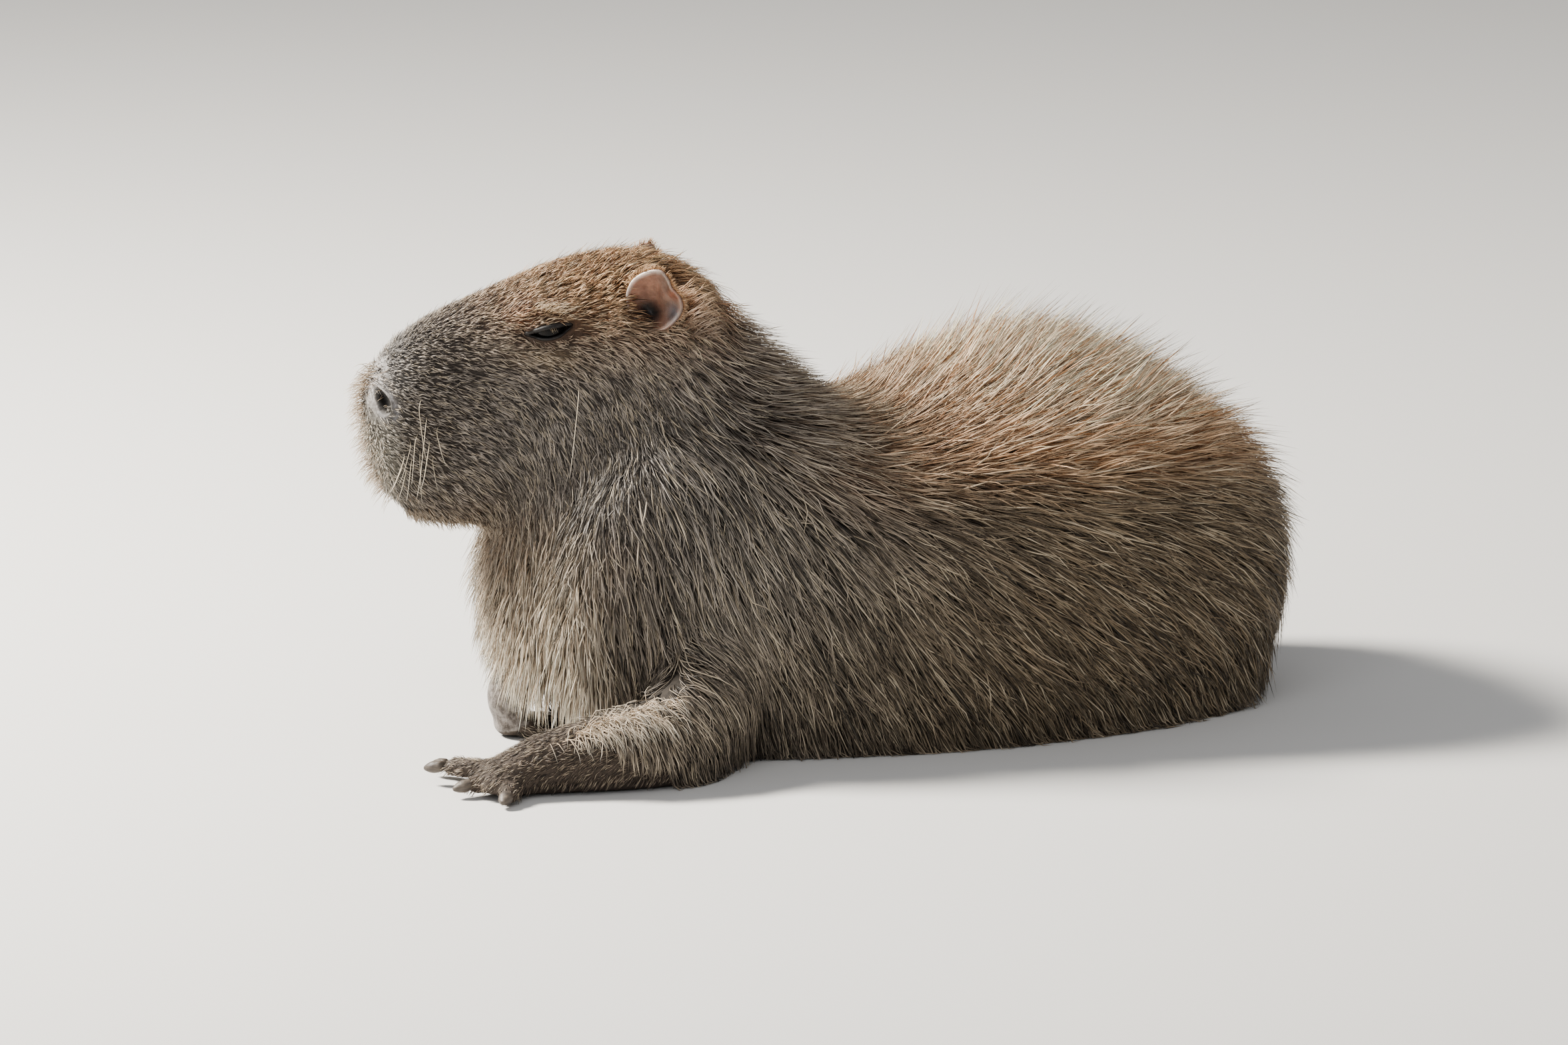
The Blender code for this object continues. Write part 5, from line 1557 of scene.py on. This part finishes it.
def make_whiskers(tree, rng):
    """The whiskers of the muzzle, and one long hair on each cheek."""
    forward, _, up = head_axes()
    hairs = Hairs("whiskers", WHISKER)
    for side in SIDES:
        for ahead, height, length, sweep in WHISKERS:
            root, normal = place_on_skin(tree, ahead, side * 0.05, height)
            first = 0.8 * normal + (rng.normal(0.1, 0.15) - 0.9 * sweep) * forward - 0.2 * up
            middle = 0.3 * normal + 0.5 * sweep * forward - 0.9 * up
            last = 0.1 * normal + sweep * forward - 0.9 * up
            hairs.add(root, (first, middle, middle, last), length, rng.uniform(0.0005, 0.0008), steps=12)
    return hairs.piece(rng)


def make_bristles(tree, rng):
    """Bristles of the lips, nose and chin."""
    forward, _, up = head_axes()
    hairs = Hairs("lip_bristles", BRISTLE)
    for _ in range(BRISTLES):
        ahead = rng.uniform(0.215, 0.262)
        height = rng.uniform(0.215, 0.345)
        aside = rng.normal(0, 0.022)
        if abs(height - NOSTRIL_PLACE[2]) < 0.014 and abs(aside) > 0.010:
            aside = 0.3 * aside
        root, normal = place_on_skin(tree, ahead + 0.02, aside, height)
        length = rng.uniform(0.006, 0.022)
        first = normal + 0.2 * forward + rng.normal(0, 0.25, 3)
        last = 0.5 * first - rng.uniform(0.2, 1.2) * up
        hairs.add(root, (first, last), length, rng.uniform(0.0004, 0.0007))
    for _ in range(CHIN_HAIRS):
        root, normal = place_on_skin(tree, rng.uniform(0.100, 0.236), rng.normal(0, 0.030), 0.200)
        first = normal + rng.normal(0, 0.3, 3) - 0.3 * forward
        last = -1.0 * up - 0.6 * forward + rng.normal(0, 0.3, 3)
        hairs.add(root, (first, last), rng.uniform(0.006, 0.014), rng.uniform(0.0006, 0.0010))
    return hairs.piece(rng)


def make_lashes(tree, rng):
    """Lashes of the upper lids and the hairs of the brows."""
    forward, _, up = head_axes()
    hairs = Hairs("lashes_and_brows", LASH)
    for side in SIDES:
        line = rim_line(side, True, 0.0014)
        axes = eye_axes(side)
        for _ in range(LASHES):
            root = line[rng.integers(10, 19)]
            way = 0.9 * axes[1] - 0.35 * axes[2] - rng.uniform(-0.1, 0.5) * axes[0]
            tip = 0.5 * axes[1] - 0.9 * axes[2] - rng.uniform(-0.1, 0.5) * axes[0]
            hairs.add(root, (way, tip), rng.uniform(0.004, 0.008), rng.uniform(0.0002, 0.0003))
        for _ in range(BROW_HAIRS):
            ahead = EYE_PLACE[0] + rng.normal(-0.002, 0.012)
            height = EYE_PLACE[2] + 0.019 + rng.normal(0, 0.003)
            root, normal = place_on_skin(tree, ahead, side * 0.06, height)
            first = normal - 0.3 * forward + 0.7 * up + rng.normal(0, 0.2, 3)
            last = normal * 0.4 - 1.0 * forward + rng.normal(0, 0.2, 3)
            hairs.add(root, (first, last), rng.uniform(0.010, 0.022), rng.uniform(0.0004, 0.0007))
    return hairs.piece(rng)


def make_ear_hair(tree, rng):
    """A fringe along each ear's rim, long hair behind it and short hair before it."""
    forward, _, up = head_axes()
    hairs = Hairs("ear_hair")
    for side in SIDES:
        ahead, outward_axis, raised_axis = ear_axes(side)
        for _ in range(EAR_FRINGE):
            rim = rim_point(rng.uniform(0, len(EAR_RIM)))
            away = rim[0] * ahead + rim[1] * raised_axis
            place = on_side(EAR_PLACE, side) + away - 0.0012 * outward_axis
            first = unit(away) + 0.3 * outward_axis + rng.normal(0, 0.25, 3)
            last = unit(away) - 0.5 * forward + rng.normal(0, 0.25, 3)
            hairs.add(place, (first, last), rng.uniform(0.003, 0.008), rng.uniform(0.0004, 0.0006))
        for _ in range(EAR_TUFT):
            back = rng.uniform(-0.050, -0.022)
            height = EAR_PLACE[2] + rng.uniform(-0.034, 0.030)
            root, normal = place_on_skin(tree, back, side * 0.075, height)
            first = normal + 0.5 * up - 0.5 * forward + rng.normal(0, 0.25, 3)
            last = -1.0 * forward + 0.35 * up + 0.3 * normal + rng.normal(0, 0.25, 3)
            hairs.add(root, (first, last), rng.uniform(0.014, 0.034), rng.uniform(0.0005, 0.0009))
        for _ in range(EAR_TUFT):
            front = rng.uniform(0.036, 0.050)
            height = EAR_PLACE[2] + rng.uniform(-0.030, 0.014)
            root, normal = place_on_skin(tree, front, side * 0.075, height)
            first = normal + 0.2 * up - 0.4 * forward + rng.normal(0, 0.2, 3)
            last = -1.0 * forward + 0.4 * normal + rng.normal(0, 0.2, 3)
            hairs.add(root, (first, last), rng.uniform(0.006, 0.010), rng.uniform(0.0004, 0.0008))
    return hairs.piece(rng)


def make_elbow_tuft(tree, rng):
    """The long fringe that hangs from the elbow over the left foreleg, pale partly in its own colour and
    partly as painted sunlight.
    """
    hairs = Hairs("elbow_tuft", ELBOW_PALE_AND_SUNLIT)
    for _ in range(ELBOW_HAIRS):
        x = rng.normal(0.010, 0.022)
        root, normal, _, _ = tree.find_nearest(Vector((x, -0.20, rng.uniform(0.055, 0.085))))
        first = 0.6 * np.array(normal) + np.array((0.2, 0.0, 0.3)) + rng.normal(0, 0.3, 3)
        last = np.array((0.45, -0.10, -1.0)) + rng.normal(0, 0.3, 3)
        length = rng.uniform(0.014, 0.036)
        hairs.add(root, (first, first + last, last), length, rng.uniform(0.0006, 0.0011), steps=5)
    return hairs.piece(rng, (LOWEST[0], TUFT_SIDE, HAIR_FLOOR))


def claw(root, tip):
    """A blunt, hoof-like claw that starts inside its toe and points on from it."""
    root, tip = np.asarray(root), np.asarray(tip)
    ahead = unit(tip - root)
    start = tip - ahead * 0.004
    stations = []
    for share, size in ((0.0, 0.9), (0.4, 1.0), (0.75, 0.78), (1.0, 0.42)):
        point = start + share * (CLAW_LENGTH + 0.002) * ahead
        point[2] = tip[2] + 0.001 - 0.003 * share
        stations.append((*point, CLAW_RADIUS * size * 1.15, CLAW_RADIUS * size))
    made = limb("claw", stations, sides=18, steps=4, blunt=0.45)
    points = points_of(made.data)
    points[:, 2] = np.maximum(points[:, 2], FLOOR_CLEAR)
    set_points(made.data, points)
    return made


def make_claws():
    toes = [*TOES_LEFT, *TOES_RIGHT]
    for side, shift in HIND_SIDES:
        toes += [shifted(pair, side, shift) for pair in HIND_TOES]
    claws = joined("claws", [claw(root, tip) for root, tip in toes])
    claws.data.shade_smooth()
    return claws


# Materials


class Nodes:
    """Short ways to make and join the nodes of one material."""

    def __init__(self, name):
        self.material = bpy.data.materials.new(name)
        self.material.use_nodes = True
        self.tree = self.material.node_tree
        self.shader = self.tree.nodes["Principled BSDF"]

    def node(self, kind, **values):
        made = self.tree.nodes.new(kind)
        for key, value in values.items():
            setattr(made, key, value)
        return made

    def join(self, source, target):
        self.tree.links.new(source, target)

    def attribute(self, name):
        return self.node("ShaderNodeAttribute", attribute_name=name)

    def noise(self, scale, detail=4.0, rough=0.55, stretch=(1, 1, 1)):
        place = self.node("ShaderNodeTexCoord")
        mapping = self.node("ShaderNodeMapping")
        mapping.inputs["Scale"].default_value = stretch
        self.join(place.outputs["Object"], mapping.inputs["Vector"])
        made = self.node("ShaderNodeTexNoise")
        made.inputs["Scale"].default_value = scale
        made.inputs["Detail"].default_value = detail
        made.inputs["Roughness"].default_value = rough
        self.join(mapping.outputs["Vector"], made.inputs["Vector"])
        return made.outputs["Fac"]

    def ramp(self, value, stops):
        made = self.node("ShaderNodeValToRGB")
        elements = made.color_ramp.elements
        elements[0].position, elements[0].color = stops[0][0], (*linear(stops[0][1]), 1)
        elements[1].position, elements[1].color = stops[-1][0], (*linear(stops[-1][1]), 1)
        for position, colour in stops[1:-1]:
            made.color_ramp.elements.new(position).color = (*linear(colour), 1)
        self.join(value, made.inputs["Fac"])
        return made.outputs["Color"]

    def spread(self, value, low, high, to_low, to_high):
        made = self.node("ShaderNodeMapRange")
        for key, number in (("From Min", low), ("From Max", high), ("To Min", to_low), ("To Max", to_high)):
            made.inputs[key].default_value = number
        self.join(value, made.inputs["Value"])
        return made.outputs["Result"]

    def mixed(self, first, second, share=None, blend="MIX", amount=0.5):
        made = self.node("ShaderNodeMix", data_type="RGBA", blend_type=blend)
        if share is None:
            made.inputs["Factor"].default_value = amount
        else:
            self.join(share, made.inputs["Factor"])
        self.join(first, made.inputs["A"])
        self.join(second, made.inputs["B"])
        return made.outputs["Result"]

    def bump(self, height, distance, strength=1.0, below=None):
        made = self.node("ShaderNodeBump")
        made.inputs["Distance"].default_value = distance
        made.inputs["Strength"].default_value = strength
        self.join(height, made.inputs["Height"])
        if below is not None:
            self.join(below, made.inputs["Normal"])
        return made.outputs["Normal"]

    def coat(self):
        """The colours that the mesh carries."""
        return self.attribute("Coat").outputs["Color"]

    def base(self, colour):
        self.join(colour, self.shader.inputs["Base Color"])

    def darkened(self, colour, noise, stops, amount):
        """A colour multiplied by a ramp over a noise."""
        shade = self.ramp(self.noise(*noise), stops)
        return self.mixed(colour, shade, blend="MULTIPLY", amount=amount)

    def relief(self, *layers):
        """Bumps over each other, each with its noise, its distance and its strength."""
        normal = None
        for noise, distance, strength in layers:
            normal = self.bump(self.noise(*noise), distance, strength, normal)
        self.join(normal, self.shader.inputs["Normal"])

    def set(self, **values):
        names = {
            "roughness": "Roughness",
            "specular": "Specular IOR Level",
            "subsurface": "Subsurface Weight",
            "subsurface_scale": "Subsurface Scale",
        }
        for key, value in values.items():
            self.shader.inputs[names[key]].default_value = value


def hair_material():
    nodes = Nodes("coat_hair")
    streaks = ((0.3, (205, 205, 205)), (0.7, WHITE))
    nodes.base(nodes.darkened(nodes.coat(), (9.0, 3.0), streaks, 0.6))
    nodes.set(roughness=0.46, specular=0.32)
    return nodes.material


def skin_material():
    nodes = Nodes("hide")
    colour = nodes.coat()
    shaded = nodes.darkened(colour, (260.0, 5.0, 0.65), ((0.25, (120, 120, 120)), (0.75, WHITE)), 0.8)
    shaded = nodes.darkened(shaded, (38.0, 4.0), ((0.3, (170, 165, 160)), (0.7, WHITE)), 0.6)
    speckled = nodes.darkened(colour, (150.0, 6.0, 0.7), ((0.40, (120, 108, 98)), (0.58, WHITE)), 0.9)
    bare = nodes.attribute("Bare").outputs["Fac"]
    nodes.base(nodes.mixed(shaded, speckled, bare))
    nodes.join(nodes.spread(bare, 0, 1, 0.85, 0.36), nodes.shader.inputs["Roughness"])
    nodes.relief(((90.0, 5.0, 0.6), 0.0022, 0.6), ((520.0, 3.0, 0.6), 0.0007, 0.8))
    nodes.set(specular=0.3)
    return nodes.material


def ear_material():
    nodes = Nodes("ear_hide")
    blotches = ((0.3, (150, 140, 135)), (0.7, WHITE))
    nodes.base(nodes.darkened(nodes.coat(), (120.0, 5.0, 0.6), blotches, 0.7))
    nodes.relief(((220.0, 5.0, 0.6), 0.0009, 0.7), ((900.0, 2.0), 0.0003, 0.6))
    nodes.set(roughness=0.48, specular=0.45, subsurface=0.25, subsurface_scale=0.004)
    return nodes.material


def eye_material():
    nodes = Nodes("eye_gloss")
    nodes.base(nodes.ramp(nodes.noise(160.0, 3.0), ((0.35, (5, 5, 7)), (0.75, (20, 15, 13)))))
    nodes.set(roughness=0.06, specular=0.10)
    return nodes.material


def lid_material():
    nodes = Nodes("lid_skin")
    nodes.base(nodes.ramp(nodes.noise(300.0, 4.0), ((0.3, (10, 9, 9)), (0.7, (30, 25, 23)))))
    nodes.relief(((700.0, 3.0), 0.0003, 0.8))
    nodes.set(roughness=0.50, specular=0.25)
    return nodes.material


def claw_material():
    nodes = Nodes("claw_horn")
    bands = ((0.3, (52, 46, 42)), (0.55, (82, 73, 64)), (0.8, (120, 108, 94)))
    nodes.base(nodes.ramp(nodes.noise(70.0, 4.0, 0.6, (1, 1, 4)), bands))
    nodes.relief(((340.0, 4.0, 0.6, (1, 1, 3)), 0.0006, 0.7))
    nodes.set(roughness=0.5, specular=0.4)
    return nodes.material


def floor_material():
    nodes = Nodes("studio_floor")
    nodes.shader.inputs["Base Color"].default_value = FLOOR_COLOUR
    nodes.set(roughness=0.9, specular=0.1)
    return nodes.material


def dress(obj, material, slot, *nodes):
    obj.data.materials.clear()
    obj.data.materials.append(material)
    if nodes:
        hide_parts(*nodes)


def colour_skin(skin, leg, wrist):
    """The skin's colours: darker than the hair over it as painted shade between the hairs, and bare on the
    nose and the right wrist.
    """
    points = points_of(skin.data)
    # Painted shade: the skin darker than the hair so that the gaps between hairs read dark
    colours = markings(points, leg)[0] * np.where(leg, 0.80, 0.42)[:, None]
    ahead, _, height = head_places(points)
    bare_wrist = np.where(leg & wrist, 1.0, 0.0)
    # The bare wrist: partly grey wet mud and partly painted sheen
    colours = tint(colours, WRIST_MUD_AND_SHEEN, bare_wrist)
    high = height - NOSTRIL_PLACE[2]
    hole = np.hypot((ahead - NOSTRIL_PLACE[0] - 0.35 * high) / NOSTRIL_SIZE[0], high / NOSTRIL_SIZE[1])
    # Painted shade inside the nostril hole
    dark = np.clip(1.5 - hole, 0, 1) * (ahead > 0.2)
    colours = colours * (1 - 0.9 * np.clip(dark * 1.6, 0, 1))[:, None]
    cup = about(hole, 2.0, 0.55) * (ahead > 0.2)
    colours = tint(colours, NOSTRIL_RIM, 0.55 * cup)
    # Painted sheen on top of the bare nose, which the Bare mask also makes glossier
    nose = above(ahead, 0.240, 0.004) * above(height, 0.306, 0.006)
    colours = tint(colours, NOSE_SHEEN, 0.7 * nose * (1 - dark))
    for side in SIDES:
        along, out, up = local(points, on_side(EYE_PLACE, side), eye_axes(side))
        flat = np.hypot(along / LID_RADII[0], up / (0.48 * LID_RADII[2]))
        lid = np.clip(1.1 - flat, 0, 1) * (out > -0.01)
        colours = colours * (1 - 0.80 * np.clip(lid * 2, 0, 1))[:, None]
        # Darker along a line running forward from the eye's front corner
        corner_line = about(up + 0.1 * (along - 0.019), 0, 0.0022) * above(along, 0.014, 0.002)
        corner_line = corner_line * below(along, 0.040, 0.004) * (out > -0.01)
        colours = colours * (1 - 0.7 * corner_line)[:, None]
    # Painted shade along the groove between the lips
    mouth = path_distance(points, (*MOUTH_SIDE, MOUTH_FRONT))
    colours = colours * (1 - 0.6 * about(mouth, 0, 0.004))[:, None]
    set_colours(skin.data, colours)
    set_number(skin.data, "Bare", np.maximum(bare_wrist, np.maximum(nose, cup) * 0.8))
    map_surface(skin.data, unwrapped(points, limb_distance(points)[1], leg))


def numbers_of(items, what):
    """A whole number of each of the mesh's corners or faces."""
    values = np.empty(len(items), np.int32)
    items.foreach_get(what, values)
    return values


def map_surface(mesh, uv):
    """The flat map of a surface, with each face kept on one side of a seam."""
    corners = numbers_of(mesh.loops, "vertex_index")
    starts = numbers_of(mesh.polygons, "loop_start")
    first = np.repeat(corners[starts], numbers_of(mesh.polygons, "loop_total"))
    places, anchor = uv[corners], uv[first]
    jump = np.abs(places - anchor).max(axis=1) > SEAM_JUMP
    places[jump] = anchor[jump] + SEAM_STEP
    set_map(mesh, places)


def colour_ear(ear, side):
    """Brown and bare, dark in the canal as painted shade, with a painted highlight along the edge in front
    and darker patches behind.
    """
    points = points_of(ear.data)
    front, out, high = local(points, on_side(EAR_PLACE, side), ear_axes(side))
    reach = np.hypot(front - EAR_CANAL[0], high - EAR_CANAL[1])
    # Painted highlight along the front and upper edge of the rim
    rim = above(out, -0.0010, 0.0005) * above(front, -0.004, 0.006) * above(high, -0.006, 0.004)
    colours = painted(
        EAR_PINK,
        (EAR_REAR, below(front, -0.006, 0.004)),
        (EAR_PATCH, about(front, -0.018, 0.006) * about(high, 0.004, 0.006)),
        (EAR_EDGE, about(front, -0.016, 0.008) * about(high, -0.014, 0.008)),
        # Painted shade in the canal
        (EAR_CANAL_SHADE, np.clip(1.6 - reach / 0.0105, 0, 1)),
        (EAR_RIM_HIGHLIGHT, 0.9 * rim),
    )
    set_colours(ear.data, colours)
    map_surface(ear.data, unwrapped(points))


def set_plain_map(obj):
    points = points_of(obj.data)
    map_surface(obj.data, unwrapped(points, limb_distance(points)[1], behind_head(points) > 0.5))


# Camera, lights and floor


def look_from(azimuth, elevation):
    return Vector(
        (
            math.sin(azimuth) * math.cos(elevation),
            -math.cos(azimuth) * math.cos(elevation),
            math.sin(elevation),
        )
    )


def placed(name, data, target, way, distance):
    """A camera or lamp that looks at a target from a distance."""
    obj = linked(name, data)
    obj.location = Vector(target) + way * distance
    obj.rotation_mode = "QUATERNION"
    obj.rotation_quaternion = (-way).to_track_quat("-Z", "Y")
    return obj


def make_camera(shift):
    data = bpy.data.cameras.new("camera")
    data.lens = CAMERA_LENS
    data.clip_end = CLIP_END
    way = look_from(CAMERA_AZIMUTH, CAMERA_ELEVATION)
    target = Vector(CAMERA_TARGET) + shift
    bpy.context.scene.camera = placed("camera", data, target, way, CAMERA_DISTANCE)


def make_light(name, azimuth, elevation, distance, size, power, colour):
    data = bpy.data.lights.new(name, "AREA")
    data.size = size
    data.energy = power
    data.color = colour
    placed(name, data, LIGHT_TARGET, look_from(math.radians(azimuth), math.radians(elevation)), distance)


def make_studio():
    reach = FLOOR_REACH
    corners = ((-reach, -reach, 0), (reach, -reach, 0), (reach, reach, 0), (-reach, reach, 0))
    floor = mesh_object("floor", corners, ((0, 1, 2, 3),))
    floor.data.materials.append(floor_material())
    for name, values in LIGHTS.items():
        make_light(name, *values)
    world = bpy.data.worlds.new("studio")
    bpy.context.scene.world = world
    world.use_nodes = True
    sky = world.node_tree.nodes["Background"].inputs
    sky["Color"].default_value = SKY_COLOUR
    sky["Strength"].default_value = SKY_STRENGTH


HAIR_MAKERS = (make_whiskers, make_bristles, make_lashes, make_ear_hair, make_elbow_tuft)


def head_parts():
    """The ears, eyes and rims of the lids, coloured and dressed."""
    ear_skin, gloss, lids = ear_material(), eye_material(), lid_material()
    pieces = []
    for side, name in ((1, "left"), (-1, "right")):
        ear, eye, rims = make_ear(side), make_eye(side), make_lid_rims(side)
        colour_ear(ear, side)
        set_plain_map(eye)
        set_plain_map(rims)
        dress(ear, ear_skin, "ear_skin", f"ear_{name}")
        dress(eye, gloss, "eye", f"eye_{name}")
        dress(rims, lids, "ear_skin")
        pieces += [ear, eye, rims]
    return pieces


def main():
    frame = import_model()
    low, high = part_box("eye_left")
    shift = (low + high) / 2 - Vector(on_side(EYE_PLACE, 1))
    make_camera(shift)
    make_studio()

    body = body_form()
    form_tree = skin_tree(body)
    skin = make_skin(body)
    tree = skin_tree(skin)
    coat, leg, wrist = coat_pieces(skin, tree, form_tree)
    colour_skin(skin, leg, wrist)
    rng = np.random.default_rng(COAT_SEED + 1)
    coat += [make(tree, rng) for make in HAIR_MAKERS]
    hair = hair_material()
    for piece in coat:
        dress(piece, hair, "hair")
    flesh = [name for name in frame["nodes"] if name.split("_")[0] in FLESH]
    dress(skin, skin_material(), "hair", *flesh)
    pieces = [skin, *coat, *head_parts()]
    claws = make_claws()
    set_plain_map(claws)
    dress(claws, claw_material(), "claw", *(name for name in frame["nodes"] if name.startswith("claw_")))
    for piece in (*pieces, claws):
        piece.data.transform(Matrix.Translation(shift))
        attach(piece, "root")


main()
